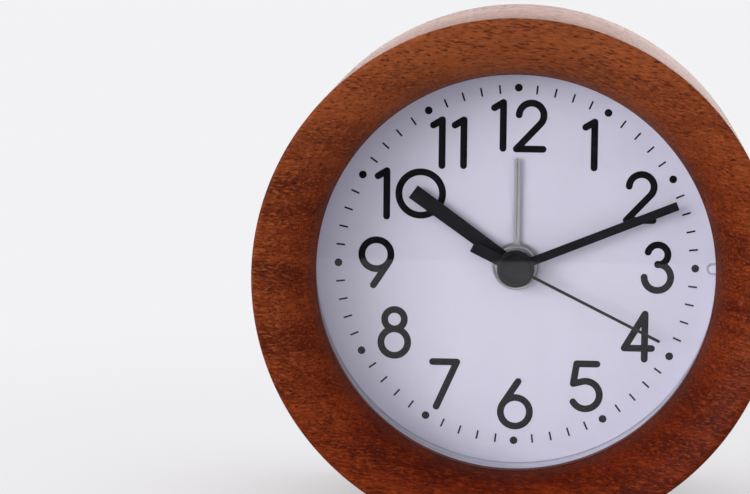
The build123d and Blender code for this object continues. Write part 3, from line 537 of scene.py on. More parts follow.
@dataclass(frozen=True)
class LacqueredHardwood:
    """Red-brown hardwood turned and sanded, stained, and sprayed with a thin satin lacquer.

    The grain runs along x, a little down to the right. Open pores show as dark dashes where the surface
    follows the grain and as dots where it cuts across; between them lie lighter flecks. Shade is painted on
    the slope before the opening, but for its top, darker still at the opening's edge, and at the right; the
    top is painted lighter as a painted highlight, and the wood darkens towards the foot. Each of these is
    given by the range of lengths in millimetres over which it comes or goes.
    """

    name: str = "lacquered_hardwood"
    dark: str = "#591E0A"
    middle: str = "#7C3614"
    light: str = "#91461C"
    pore: str = "#2E0C04"
    fleck: str = "#A6582C"
    # Painted shade at the edge of the opening, where the bezel falls into the recess
    opening_shade: str = "#472012"
    # Painted highlight: lighter colour blended in towards the top
    top_highlight: str = "#9A5530"
    # Tint multiplied in for the painted shade on the slope and at the right, and for the darkening towards
    # the foot
    darkening_tint: str = "#DDA657"
    tilt: float = -7.0
    bands: Noise = Noise((24.0, 20.0, 6.5), 5.0, 0.6, 0.6)
    band_stops: Triple = (0.36, 0.5, 0.64)
    fibres: Noise = Noise((7.0, 1.8, 0.6), fineness=0.6)
    fibre_range: Range = (0.4, 0.62, 0.62, 0.0)
    flecks: Noise = Noise((1.4, 1.0, 0.4), 2.0, 0.3, 0.6)
    fleck_range: Range = (0.5, 0.68, 0.0, 0.7)
    # Real pores are about 0.15 mm wide; they are drawn a little wider so that they show in the render
    pores: Noise = Noise((1.8, 0.42, 0.34), 2.0, 0.4, 0.6)
    pore_patches: Noise = Noise((24.0, 20.0, 6.5), fineness=0.6)
    pore_start: Range = (0.38, 0.62, 0.49, 0.55)
    pore_full: float = 0.66
    pore_strength: float = 0.76
    pore_depth: float = 0.02
    pore_matt: float = 1.4
    # Painted shade on the slope before the opening, by reach, left off at the top by height
    slope_shade: Range = (39.5, 47.5, 0.6, 0.0)
    slope_below: Range = (68.0, 86.0, 1.0, 0.0)
    # Height over which the painted highlight at the top comes in
    top_highlight_height: Range = (60.0, 92.0, 0.0, 0.5)
    # Darker towards the foot
    foot_darkening: Range = (48.0, 8.0, 0.0, 0.85)
    # Painted shade towards the right, away from the key light
    right_shade: Range = (15.0, 46.0, 0.0, 0.35)
    # Reach over which the painted shade at the opening's edge fades out
    opening_shade_range: Range = (38.6, 40.3, 0.5, 0.0)
    roughness: float = 0.46
    ior: float = 1.5
    specular: float = 0.07

    def grain(self, graph: NodeGraph, noise: Noise) -> NodeSocket:
        """Noise drawn out along the grain."""
        tilted = graph.mapped(graph.place(), Rotation=(0.0, radians(self.tilt), 0.0))
        return graph.noise(tilted, noise)

    def reach(self, graph: NodeGraph) -> NodeSocket:
        """Distance to the clock's axis."""
        flat = graph.mapped(graph.place(), Location=(0.0, 0.0, -mm(AXIS_HEIGHT)), Scale=(1.0, 0.0, 1.0))
        return graph.length(flat)

    def colour(self, graph: NodeGraph, open_pore: NodeSocket) -> NodeSocket:
        """Stained wood with its bands, fibres, flecks and pores, and the painted shade and highlight over it.
        """
        shades = tuple(zip(self.band_stops, (self.dark, self.middle, self.light)))
        base = graph.ramp(self.grain(graph, self.bands), shades)
        fibres = graph.span(self.grain(graph, self.fibres), *self.fibre_range)
        flecks = graph.span(self.grain(graph, self.flecks), *self.fleck_range)
        parts = graph.add("SeparateXYZ", {0: graph.place()}).outputs
        across, height, reach = parts["X"], parts["Z"], self.reach(graph)
        # Painted shade: the slope near the opening is darkened, but for its top, which the light from below
        # leaves lit
        below = graph.span_mm(height, self.slope_below)
        slope = graph.maths("MULTIPLY", graph.span_mm(reach, self.slope_shade), below)
        layers = (
            (fibres, self.dark, "MIX"),
            (flecks, self.fleck, "MIX"),
            # Painted shade on the slope
            (slope, self.darkening_tint, "MULTIPLY"),
            # Painted highlight towards the top
            (graph.span_mm(height, self.top_highlight_height), self.top_highlight, "MIX"),
            # Darker towards the foot
            (graph.span_mm(height, self.foot_darkening), self.darkening_tint, "MULTIPLY"),
            # Painted shade at the right
            (graph.span_mm(across, self.right_shade), self.darkening_tint, "MULTIPLY"),
            (open_pore, self.pore, "MIX"),
            # Painted shade at the opening's edge
            (graph.span_mm(reach, self.opening_shade_range), self.opening_shade, "MIX"),
        )
        for factor, tint, mode in layers:
            base = graph.blend(factor, base, linear(tint), mode)
        return base

    def material(self) -> Material:
        """Build the node material."""
        material, graph = new_material(self.name)
        density = graph.span(self.grain(graph, self.pore_patches), *self.pore_start)
        pores = self.grain(graph, self.pores)
        open_pore = graph.span(pores, density, self.pore_full, 0.0, self.pore_strength)
        inputs = {
            "Base Color": self.colour(graph, open_pore),
            "Roughness": graph.span(open_pore, 0.0, 1.0, self.roughness, self.roughness * self.pore_matt),
            "IOR": self.ior,
            "Specular IOR Level": self.specular,
            "Normal": graph.bump(graph.span(open_pore, 0.0, 1.0, 1.0, 0.0), self.pore_depth),
        }
        graph.show(graph.add("BsdfPrincipled", inputs))
        return material


@dataclass(frozen=True)
class FloatGlass:
    """Clear float glass with polished faces: mirrors a little, and lets lamps' light through to the dial."""

    name: str = "mineral_glass"
    # Under glass's own 1.5, matched to the weak mirror that the object shows
    ior: float = 1.3

    def material(self) -> Material:
        """Build the node material."""
        material, graph = new_material(self.name)
        inputs = {"Base Color": (1.0,) * 4, "Roughness": 0.0, "IOR": self.ior, "Transmission Weight": 1.0}
        to_lamp = graph.add("LightPath").outputs["Is Shadow Ray"]
        graph.mix(to_lamp, graph.add("BsdfPrincipled", inputs), graph.add("BsdfTransparent"))
        return material


def finishes() -> dict[str, Material]:
    """Every finish of the clock, by the record's material slot."""
    brushed, lathed = Pattern.BRUSHED, Pattern.TURNED
    surfaces = {
        # Silicone rubber: soft, cloudy and slightly tacky
        "clear_silicone": Surface("silicone_rubber", "#C9CCCB", "#BDC1C0", 0.45, ior=1.41),
        # Printed card on aluminium: smooth, faintly lilac white
        "printed_dial": Surface("printed_dial_sheet", "#C6C3D5", "#C4C1D3", 0.55, grain=0.3, relief=0.001),
        # Painted shadow of the gap round the dial sheet and its notch, as a grey line
        "dial_gap_shade": Surface("painted_gap_shadow", "#A3A1B2", "#9B99AA", 0.5, grain=0.3, relief=0.001),
        "dial_ink": Surface(
            "matt_black_ink", "#111013", "#0F0E11", 0.6, grain=0.3, relief=0.001, specular=0.06
        ),
        # White ABS from a polished mould
        "white_abs": Surface("white_moulded_abs", "#CCCBD8", "#C9C8D5", 0.4, ior=1.53, relief=0.002),
        # Stamped aluminium, bright rolled
        "silver_hand": Surface("bright_aluminium", "#B0AFB3", "#A3A2A7", 0.36, lathed, 1.0, grain=0.5),
        # Stamped aluminium with baked satin black paint
        "black_hand": Surface(
            "satin_black_paint", "#18161B", "#161419", 0.5, grain=0.25, relief=0.002, specular=0.1
        ),
        # Black ABS from a lightly blasted mould
        "black_cap": Surface(
            "black_moulded_abs", "#161519", "#141317", 0.5, grain=0.3, relief=0.002, specular=0.12
        ),
        # Grey ABS of the movement box, natural acetal of its wheels
        "movement_plastic": Surface("grey_moulded_abs", "#4B4B50", "#434348", 0.42),
        "wheel_plastic": Surface("ivory_acetal", "#EBE5D2", "#E0DAC6", 0.35, ior=1.48, grain=0.4),
        # Zinc-plated steel: bluish, fine drawn lines
        "zinc_steel": Surface("zinc_plated_steel", "#B9BDC4", "#A9ADB5", 0.34, brushed, 1.0, grain=0.15),
        # Sintered ferrite: dark, matt and granular
        "ferrite": Surface("sintered_ferrite", "#3A393C", "#323134", 0.6, grain=0.2, relief=0.01),
        # Enamelled copper wire, wound in close turns along the bobbin
        "enamelled_copper": Surface("enamelled_copper", "#B4622F", "#9C4F24", 0.28, metallic=1.0, grain=0.2),
        # Phenolic paper board with green solder mask
        "circuit_board": Surface("green_solder_mask", "#2F6B3F", "#285C37", 0.4, grain=0.5, relief=0.006),
        "chip_resin": Surface("black_epoxy_resin", "#1B1B1D", "#151517", 0.3, grain=0.8, relief=0.01),
        # White ABS with a fine spark-eroded texture
        "cover_abs": Surface(
            "textured_white_abs", "#CFCED2", "#CCCBCF", 0.5, ior=1.53, grain=0.3, relief=0.01
        ),
        "knob_abs": Surface("white_knob_abs", "#C9C8CC", "#C6C5C9", 0.38, ior=1.53, grain=0.35),
        # Printed plastic sleeve shrunk over the cell
        "battery_sleeve": Surface("battery_sleeve", "#2C2F36", "#272A30", 0.3, grain=0.8, coat=0.4),
        "brass_plate": Surface("rolled_brass", "#C8A55A", "#B8954C", 0.3, brushed, 1.0, grain=0.2),
        "switch_black": Surface("black_switch_acetal", "#222225", "#1D1D20", 0.42, grain=0.3, relief=0.006),
        "lacquered_wood": LacqueredHardwood(),
        "mineral_glass": FloatGlass(),
    }
    return {slot: surface.material() for slot, surface in surfaces.items()}


# --- case, glass and dial -----------------------------------------------------------------------------------


@dataclass
class WoodenCase:
    """Turned drum with its convex bezel, the lip for the glass, the bore and the flat that it stands on."""

    radius: float = 50.0
    opening: float = 38.6
    lip_y: float = -13.0
    lip_thickness: float = 2.0
    bulge: float = 2.0
    bezel_steps: int = 40
    front_edge: float = 0.8
    back_edge: float = 1.6
    lip_edge: float = 0.45
    # Place of the lip's shoulder, in shares of its edge
    lip_shoulder: Point = (0.35, 0.75)
    bore: float = 42.2
    recess: float = 45.0
    recess_y: float = 17.5
    recess_edge: float = 0.5
    pad_height: float = 1.0
    facets: int = 288
    sharp_angle: float = 30.0

    def bezel(self) -> list[Point]:
        """Profile of the convex front, from the rim to the lip."""
        start, end = (self.radius - self.front_edge, FRONT_Y), (self.opening, self.lip_y)
        chord = hypot(end[0] - start[0], end[1] - start[1])
        radius = (chord**2 / 4 + self.bulge**2) / (2 * self.bulge)
        across = ((end[0] - start[0]) / chord, (end[1] - start[1]) / chord)
        # The arc's centre lies behind the face, on the far side of its chord
        inward = (across[1], -across[0])
        middle = ((start[0] + end[0]) / 2, (start[1] + end[1]) / 2)
        centre = tuple(m + i * (radius - self.bulge) for m, i in zip(middle, inward))
        first = atan2(start[1] - centre[1], start[0] - centre[0])
        last = atan2(end[1] - centre[1], end[0] - centre[0])
        turn = (last - first + pi) % (2 * pi) - pi
        steps = self.bezel_steps
        return [polar(radius, first + turn * step / steps, centre) for step in range(steps + 1)]

    def profile(self) -> list[Point]:
        """Whole profile of the case, from the rim's edge round to the back."""
        edge, small, lip = self.front_edge, self.recess_edge, self.lip_edge
        back_y = self.lip_y + self.lip_thickness
        face = self.bezel()[:-1]
        return [
            *arc((self.radius - edge, FRONT_Y + edge), edge, 0, -90, CORNER)[:-1],
            *face,
            (face[-1][0] - lip * self.lip_shoulder[0], face[-1][1] + lip * self.lip_shoulder[1]),
            (self.opening, self.lip_y + lip),
            (self.opening, back_y),
            (self.bore, back_y),
            (self.bore, self.recess_y),
            (self.recess, self.recess_y),
            *arc((self.recess + small, BACK_Y - small), small, 180, 90, 4),
            *arc((self.radius - self.back_edge, BACK_Y - self.back_edge), self.back_edge, 90, 0, 8),
        ]

    def build(self, wood: Material) -> Object:
        """Turn the case and cut its flat."""
        case = turn_profile("wooden_case_turned", self.profile(), self.facets)
        level, up = (0.0, 0.0, mm(self.pad_height)), (0.0, 0.0, 1.0)
        with edit_mesh(case):
            bpy.ops.mesh.bisect(plane_co=level, plane_no=up, use_fill=True, clear_inner=True)
        smooth(case, self.sharp_angle)
        return finish_piece(case, wood, "case", "lacquered_wood", "wooden_case")


@dataclass
class FootPads:
    """Four round silicone pads with a domed edge."""

    radius: float = 3.6
    height: float = 1.0
    spacing_x: float = 24.0
    spacing_y: float = 34.0
    edge: float = 0.3

    def build(self, silicone: Material) -> Object:
        """Model one pad and copy it to its four places."""
        deselect()
        place = (-mm(self.spacing_x) / 2, -mm(self.spacing_y) / 2, mm(self.height) / 2)
        bpy.ops.mesh.primitive_cylinder_add(
            vertices=SMALL, radius=mm(self.radius), depth=mm(self.height), location=place
        )
        pad = settle(bpy.context.object)
        round_edges(pad, self.edge, 3)
        places = ((1, 0), (0, 1), (1, 1))
        copies = [copy_to(pad, "pad", (x * self.spacing_x, y * self.spacing_y, 0.0)) for x, y in places]
        whole = gather([pad, *copies], "foot_pads_domed")
        return finish_piece(whole, silicone, "case", "clear_silicone", "foot_pads")


@dataclass
class FrontGlass:
    """Flat glass with ground edges, seated behind the lip."""

    radius: float = 42.0
    front: float = -11.0
    back: float = -9.0
    ground_edge: float = 0.25
    facets: int = 192
    sharp_angle: float = 20.0

    def build(self, glass: Material) -> Object:
        """Turn the disc."""
        reach, edge = self.radius, self.ground_edge
        profile = [(0.0, self.front), (reach - edge, self.front), (reach, self.front + edge)]
        profile += [(reach, self.back - edge), (reach - edge, self.back), (0.0, self.back)]
        disc = turn_profile("front_glass", profile, self.facets, closed=False)
        smooth(disc, self.sharp_angle)
        return finish_piece(disc, glass, "case", "mineral_glass", "lens")


class Stroke:
    """Line of even width with round ends, as a closed outline."""

    # Chords of a round end, and the least cosine at a corner, which keeps a sharp one from running far out
    ROUND_STEPS = 10
    LEAST_COSINE = 0.3

    def __init__(self, path: Sequence[Point], width: float) -> None:
        """Keep the path of the line's middle and its width."""
        self.path = list(path)
        self.half = width / 2

    def headings(self) -> list[float]:
        """Direction of each leg of the path."""
        return [atan2(b[1] - a[1], b[0] - a[0]) for a, b in zip(self.path, self.path[1:])]

    def round_end(self, heading: float, tip: Point) -> list[Point]:
        """Half circle round one end of the line, without its own ends."""
        steps = self.ROUND_STEPS
        return [polar(self.half, heading - pi * step / steps, tip) for step in range(1, steps)]

    def outline(self) -> list[Point]:
        """Outline round the path: one side, a round end, the other side and the other end."""
        turns = self.headings()
        left: list[Point] = []
        right: list[Point] = []
        for number, point in enumerate(self.path):
            before = turns[max(number - 1, 0)]
            after = turns[min(number, len(turns) - 1)]
            half_turn = ((after - before + pi) % (2 * pi) - pi) / 2
            reach = self.half / max(cos(half_turn), self.LEAST_COSINE)
            left.append(polar(reach, before + half_turn + HALF_PI, point))
            right.append(polar(reach, before + half_turn - HALF_PI, point))
        end = self.round_end(turns[-1] + HALF_PI, self.path[-1])
        return left + end + right[::-1] + self.round_end(turns[0] - HALF_PI, self.path[0])


@dataclass
class Numerals:
    """Rounded figures of the dial: strokes of one width, drawn about each figure's middle."""

    stroke: float = 1.36
    half_height: float = 4.5
    front: float = -0.725
    back: float = -0.69
    closed_gap: float = 0.001
    places: tuple[tuple[str, float, float], ...] = (
        ("1", -2.92, 27.63), ("2", 2.3, 27.55), ("1", 14.93, 24.05), ("2", 24.0, 13.85),
        ("3", 27.72, 0.06), ("4", 24.16, -13.71), ("5", 14.02, -23.9), ("6", 0.18, -27.7),
        ("7", -13.85, -24.02), ("8", -23.88, -13.85), ("9", -27.57, 0.13), ("1", -25.62, 13.87),
        ("0", -18.94, 13.95), ("1", -14.83, 24.05), ("1", -10.6, 24.1),
    )

    def strokes(self, figure: str) -> list[list[Point]]:
        """Middle lines of one figure.

        Args:
            figure: one digit.

        Returns:
            A path for each stroke; a path whose ends meet is a ring.
        """
        top, low = self.half_height, -self.half_height
        if figure == "0":
            return [arc((0.0, 0.0), 4.3, 0, 360, SMALL)]
        if figure == "1":
            return [[(0.0, top), (0.0, low)], [(-1.75, top - 1.05), (0.0, top)]]
        if figure == "2":
            bowl = arc((0.28, 2.12), 2.42, 178, -46, 30)
            return [bowl + [(-2.6, low)], [(-2.6, low), (2.62, low)]]
        if figure == "3":
            return [arc((0.0, 2.54), 1.97, 165, -90, 30), arc((0.0, -1.93), 2.6, 90, -180, CURVE)]
        if figure == "4":
            head, corner, end = (1.32, top), (-2.65, low + 2.15), (2.7, low + 2.15)
            return [[head, (1.32, low)], [head, corner], [corner, end]]
        if figure == "5":
            bowl = arc((0.0, -1.75), 2.78, 125, -150, CURVE)
            return [[(2.2, top), (-1.78, top)], [(-1.78, top), (-2.4, 0.5)], [(-2.4, 0.5)] + bowl[2:]]
        if figure in "69":
            # The leg runs from its tip to where it touches the ring, and the 9 is the 6 turned round
            way = 1 if figure == "6" else -1
            radius, level, tip = 2.88, -1.62, (0.55, 4.5)
            rise = tip[1] - level
            distance = hypot(tip[0], rise)
            heading = atan2(-rise, -tip[0]) - asin(radius / distance)
            foot = polar(other_leg(distance, radius), heading, tip)
            return [
                [(way * x, way * z) for x, z in path]
                for path in (arc((0.0, level), radius, 0, 360, 40), [tip, foot])
            ]
        if figure == "7":
            return [[(-2.4, top), (2.4, top)], [(2.4, top), (-1.6, low)]]
        return [arc((0.0, 2.68), 1.95, -90, 270, CURVE), arc((0.0, -1.93), 2.66, 90, 450, 40)]

    def outlines(self, path: Sequence[Point]) -> list[list[Point]]:
        """Outline of an open stroke, or the outer and inner outline of a ring."""
        if hypot(path[0][0] - path[-1][0], path[0][1] - path[-1][1]) >= self.closed_gap:
            return [Stroke(path, self.stroke).outline()]
        count = len(path) - 1
        centre = (sum(p[0] for p in path[:-1]) / count, sum(p[1] for p in path[:-1]) / count)
        radius = hypot(path[0][0] - centre[0], path[0][1] - centre[1])
        return [circle(radius + half, centre) for half in (self.stroke / 2, -self.stroke / 2)]

    def figure(self, figure: str) -> Object:
        """Model one figure about the hands' axis."""
        return fuse(*(
            raise_outline("figure_" + figure, self.outlines(path), self.front, self.back)
            for path in self.strokes(figure)
        ))

    def build(self, ink: Material) -> Object:
        """Model each figure once and copy it to its places."""
        shapes = {figure: self.figure(figure) for figure in dict.fromkeys(place[0] for place in self.places)}
        printed = [copy_to(shapes[figure], "numeral", (x, 0.0, z)) for figure, x, z in self.places]
        for shape in shapes.values():
            bpy.data.objects.remove(shape, do_unlink=True)
        return finish_piece(gather(printed, "dial_numerals"), ink, "case", "printed_dial")


@dataclass
class DialFace:
    """Printed dial sheet with its notch, hour dots, minute strokes and numerals."""

    radius: float = 39.7
    front: float = -0.7
    back: float = -0.3
    hole: float = 3.9
    notch_width: float = 1.96
    notch_length: float = 2.25
    dot_circle: float = 35.07
    dot_radius: float = 0.77
    dot_facets: int = 28
    mark_outer: float = 35.7
    mark_inner: float = 33.95
    mark_width: float = 0.35
    # Width, inset and planes of the painted shadow line round the sheet
    border_width: float = 0.2
    border_inset: float = 0.01
    border_planes: Point = (0.015, 0.05)
    ink_front: float = -0.72
    ink_back: float = -0.69
    edge_steps: int = 180

    def outline(self, inset: float = 0.0) -> list[Point]:
        """Outline of the sheet, drawn in by an inset, with its round-ended notch at 3 o'clock."""
        half, radius = self.notch_width / 2 + inset, self.radius - inset
        gap = asin(half / radius)
        inner = self.radius - self.notch_length + self.notch_width / 2
        steps = self.edge_steps
        edge = [polar(radius, gap + (2 * pi - 2 * gap) * step / steps) for step in range(steps + 1)]
        return edge + arc((inner, 0.0), half, -90, -270, END)

    def border(self, shade: Material) -> Object:
        """Painted shadow: a fine grey line round the sheet and round its notch, where the gap beside it lies
        in shade.
        """
        outlines = [self.outline(self.border_inset), self.outline(self.border_width)]
        above, below = self.border_planes
        line = raise_outline("dial_gap_shadow_line", outlines, self.front - above, self.front + below)
        return finish_piece(line, shade, "case", "printed_dial")

    def sheet(self, paint: Material) -> Object:
        """Model the sheet."""
        outlines = [self.outline(), circle(self.hole, steps=64)]
        plate = raise_outline("dial_sheet", outlines, self.front, self.back)
        return finish_piece(plate, paint, "case", "printed_dial", "dial")

    def print_all(self, name: str, outlines: Sequence[Sequence[Point]], ink: Material) -> Object:
        """Raise every outline in ink and gather them in one piece."""
        spots = [raise_outline("spot", [outline], self.ink_front, self.ink_back) for outline in outlines]
        return finish_piece(gather(spots, name), ink, "case", "printed_dial")

    def dots(self) -> list[list[Point]]:
        """Twelve round hour marks."""
        steps = self.dot_facets
        centres = [polar(self.dot_circle, radians(30 * hour)) for hour in range(12)]
        turns = [2 * pi * step / steps for step in range(steps)]
        return [[polar(self.dot_radius, turn, centre) for turn in turns] for centre in centres]

    def marks(self) -> list[list[Point]]:
        """Minute strokes between the hour dots."""
        middle = (self.mark_inner + self.mark_outer) / 2
        reach, half = (self.mark_outer - self.mark_inner) / 2, self.mark_width / 2
        start, end = middle - reach, middle + reach
        corners = ((start, -half), (end, -half), (end, half), (start, half))
        return [turned(corners, 6 * minute) for minute in range(60) if minute % 5]

    def build(self, made: dict[str, Material]) -> None:
        """Model the sheet and its print."""
        ink = made["dial_ink"]
        self.sheet(made["printed_dial"])
        # Painted shadow line round the sheet and its notch
        self.border(made["dial_gap_shade"])
        self.print_all("hour_dots", self.dots(), ink)
        self.print_all("minute_marks", self.marks(), ink)
        Numerals().build(ink)


# --- hands --------------------------------------------------------------------------------------------------


@dataclass
class BarHand:
    """Black hand: a flat bar on a round eye, at the angle in degrees that the time gives.

    The eye is its inner and outer radius. The bar widens from its root on the axis to its tip. A tail is a
    length and a width behind the axis.
    """

    name: str
    node: str
    body: str
    angle: float
    planes: Point
    eye: Point
    length: float
    root: float
    tip: float
    edge: float = 0.05
    tail: Point | None = None

    def bars(self) -> list[list[Point]]:
        """Outlines of the bar and of any tail, from the middle of the eye's ring, along x."""
        start = sum(self.eye) / 2
        root = self.root + (self.tip - self.root) * start / self.length
        ends = [(start, self.length, root / 2, self.tip / 2)]
        if self.tail:
            ends.append((-self.tail[0], -start, self.tail[1] / 2, self.tail[1] / 2))
        return [[(low, -first), (high, -last), (high, last), (low, first)] for low, high, first, last in ends]

    def build(self, paint: Material) -> Object:
        """Turn the eye and fuse the bars to it."""
        hand = turn_profile(self.name, ring_section(*self.eye, *self.planes), MIDDLING)
        fuse(hand, *(raise_outline("bar", [turned(bar, self.angle)], *self.planes) for bar in self.bars()))
        round_edges(hand, self.edge)
        return finish_piece(hand, paint, self.body, "black_hand", self.node)


@dataclass
class AlarmHand:
    """Silver hand with a hollow-ground blade on a stepped round eye."""

    angle: float = 90.0
    front: float = -1.75
    back: float = -1.4
    length: float = 21.3
    width: float = 1.2
    hub: float = 4.7
    ring: float = 3.95
    tube: float = 3.3
    ridge: float = 0.25
    ridge_edge: float = 0.12
    ditch_depth: float = 0.08
    ditch_width: float = 0.3
    eye_edge: float = 0.1
    groove_share: float = 0.6
    groove_start: float = 1.2
    groove_above: float = 0.3
    groove_depth: float = 0.12
    groove_foot: float = 0.05

    def eye(self) -> Object:
        """Turn the eye, with its ridge and a ditch round it."""
        top, ring, edge = self.front - self.ridge, self.ring, self.ridge_edge
        profile = [(self.tube, top), (ring - edge, top), (ring, top + edge), (ring, self.front)]
        profile += [(ring + self.ditch_width / 2, self.front + self.ditch_depth)]
        profile += [(ring + self.ditch_width, self.front), (self.hub - self.eye_edge, self.front)]
        profile += [(self.hub, self.front + self.eye_edge)]
        return turn_profile("alarm_hand_blade", profile + [(self.hub, self.back), (self.tube, self.back)])

    def groove(self, half: float, start: float, end: float) -> Object:
        """Long V-shaped cutter along the blade, drawn in at its foot."""
        low = (-half, self.front - self.groove_above, start)
        cutter = add_block("groove", low, (half, self.front + self.groove_depth, end))
        with edit_mesh(cutter):
            bpy.ops.mesh.select_all(action="DESELECT")
        for vertex in cutter.data.vertices:
            vertex.select = vertex.co.y > mm(self.front)
        bpy.ops.object.mode_set(mode="EDIT")
        bpy.ops.transform.resize(value=(self.groove_foot, 1.0, 1.0))
        bpy.ops.object.mode_set(mode="OBJECT")
        return cutter

    def build(self, metal: Material) -> Object:
        """Model the eye, the blade and its groove."""
        half = self.width / 2
        reach = self.length - half
        start = (self.ring + self.hub) / 2
        outline = [(start, -half)] + arc((reach, 0.0), half, -90, 90, END) + [(start, half)]
        blade = raise_outline("blade", [turned(outline, self.angle)], self.front, self.back)
        hand = fuse(self.eye(), blade)
        cut(hand, self.groove(half * self.groove_share, start + self.groove_start, reach))
        smooth(hand)
        return finish_piece(hand, metal, "alarm", "silver_hand", "alarm_hand")


@dataclass
class HandCap:
    """Dished black cap with a rounded rim."""

    front: float = -5.95
    back: float = -4.75
    radius: float = 3.65
    edge: float = 0.35
    edge_turns: tuple[float, ...] = (0.0, 0.4, 0.8, 1.2, HALF_PI)
    dish: float = 2.8
    dish_depth: float = 0.3
    dish_corner: float = 0.25
    dish_bevel: Point = (0.05, 0.07)
    sharp_angle: float = 40.0

    def build(self, plastic: Material) -> Object:
        """Turn the cap."""
        floor, (run, fall) = self.front + self.dish_depth, self.dish_bevel
        side, top, edge = self.radius - self.edge, self.front + self.edge, self.edge
        profile = [(0.0, floor), (self.dish - self.dish_corner, floor), (self.dish - run, floor - fall)]
        profile += [(self.dish + run, self.front + fall)]
        profile += [(side + edge * sin(turn), top - edge * cos(turn)) for turn in self.edge_turns]
        profile += [(self.radius, self.back), (0.0, self.back)]
        cap = turn_profile("hand_cap_dished", profile, closed=False)
        smooth(cap, self.sharp_angle)
        return finish_piece(cap, plastic, "seconds", "black_cap", "hand_cap")


def add_hands(made: dict[str, Material]) -> None:
    """Model the hands from the dial outwards."""
    AlarmHand().build(made["silver_hand"])
    for hand in (
        BarHand(
            "hour_hand_bar", "hour_hand", "hours", angle=-215.66, planes=(-2.8, -2.45), eye=(2.4, 3.3),
            length=25.0, root=2.6, tip=3.0,
        ),
        BarHand(
            "minute_hand_bar", "minute_hand", "minutes", angle=22.06, planes=(-3.85, -3.5), eye=(1.5, 3.1),
            length=33.8, root=1.7, tip=1.7,
        ),
        BarHand(
            "second_hand_strip", "second_hand", "seconds", angle=-26.4, planes=(-4.75, -4.5), eye=(0.5, 2.2),
            length=31.6, root=0.56, tip=0.56, edge=0.04, tail=(9.5, 2.3),
        ),
    ):
        hand.build(made["black_hand"])
    HandCap().build(made["black_cap"])


# --- back ---------------------------------------------------------------------------------------------------


@dataclass
class BackCover:
    """Moulded cover with knob wells, sound slots, a switch slot and the battery compartment."""

    radius: float = 44.7
    front: float = 19.0
    back: float = 20.8
    knob_places: tuple[Point, Point] = ((17.934, 9.138), (-10.912, 6.3))
    shaft_hole: float = 1.3
    well_radius: float = 6.6
    well_depth: float = 0.5
    screw_circle: float = 38.4
    screw_angles: Triple = (30, 150, 270)
    screw_hole: float = 1.25
    grille_centre: Point = (0.0, 18.0)
    grille_radius: float = 6.5
    slot_width: float = 1.2
    slot_pitch: float = 2.8
    ring_outer: float = 9.0
    ring_inner: float = 7.8
    ring_height: float = 0.8
    overlap: float = 0.4
    switch_place: Point = (-29.0, 7.5)
    switch_width: float = 2.1
    switch_length: float = 5.9
    switch_corner: float = 0.2
    tray_level: float = -20.55
    tray_half_length: float = 26.65
    tray_half_height: float = 7.55
    tray_wall: float = 1.0
    tray_front: float = 3.2
    tab_spacing: float = 15.0
    tab_slot_width: float = 6.5
    tab_slot_front: float = 17.25
    tab_slot_over: float = 0.1
    edge: float = 0.12

    def screw_places(self) -> list[Point]:
        """Places of the three cover screws."""
        return [polar(self.screw_circle, radians(angle)) for angle in self.screw_angles]

    def slots(self) -> list[list[Point]]:
        """Round-ended sound slots, longest in the middle."""
        x, z = self.grille_centre
        half = self.slot_width / 2
        rises = [step * self.slot_pitch for step in range(-2, 3)]
        reaches = [other_leg(self.grille_radius, rise) - half for rise in rises]
        return [slot_outline(x - reach, x + reach, z + rise, half, 10) for rise, reach in zip(rises, reaches)]

    def plate(self) -> Object:
        """Flat plate with every hole but the battery's."""
        x, z = self.switch_place
        across, along = self.switch_width / 2, self.switch_length / 2
        outlines = [circle(self.radius, steps=192)]
        outlines += [circle(self.shaft_hole, place, HOLE) for place in self.knob_places]
        outlines += [circle(self.screw_hole, place, HOLE) for place in self.screw_places()]
        outlines += self.slots()
        outlines.append(rounded_box((x - across, z - along), (x + across, z + along), self.switch_corner))
        return raise_outline("back_cover_moulded", outlines, self.front, self.back)

    def compartment(self, wall: float, front: float, back: float) -> Object:
        """Block of the battery compartment, wider than its hollow by a wall on each side."""
        half_length, half_height = self.tray_half_length + wall, self.tray_half_height + wall
        low = (-half_length, front, self.tray_level - half_height)
        return add_block("compartment", low, (half_length, back, self.tray_level + half_height))

    def build(self, plastic: Material) -> Object:
        """Model the cover."""
        cover = self.plate()
        well = ring_section(0.0, self.well_radius, self.back - self.well_depth, self.back + PASS)
        for place in self.knob_places:
            cut(cover, turn_profile("well", well, MIDDLING, place, closed=False))
        inside = self.front + self.overlap
        fuse(cover, self.compartment(self.tray_wall, self.tray_front, inside))
        cut(cover, self.compartment(0.0, self.tray_front + self.tray_wall, self.back + PASS))
        ring = ring_section(self.ring_inner, self.ring_outer, self.front - self.ring_height, inside)
        fuse(cover, turn_profile("ring", ring, BROAD, self.grille_centre))
        level, over = self.tray_level - self.tray_half_height, self.tab_slot_over
        for middle in (-self.tab_spacing, self.tab_spacing):
            half = self.tab_slot_width / 2
            low = (middle - half, self.tab_slot_front, level - self.tray_wall - over)
            cut(cover, add_block("tab_slot", low, (middle + half, self.front, level + over)))
        round_edges(cover, self.edge)
        return finish_piece(cover, plastic, "case", "cover_abs", "back_cover")


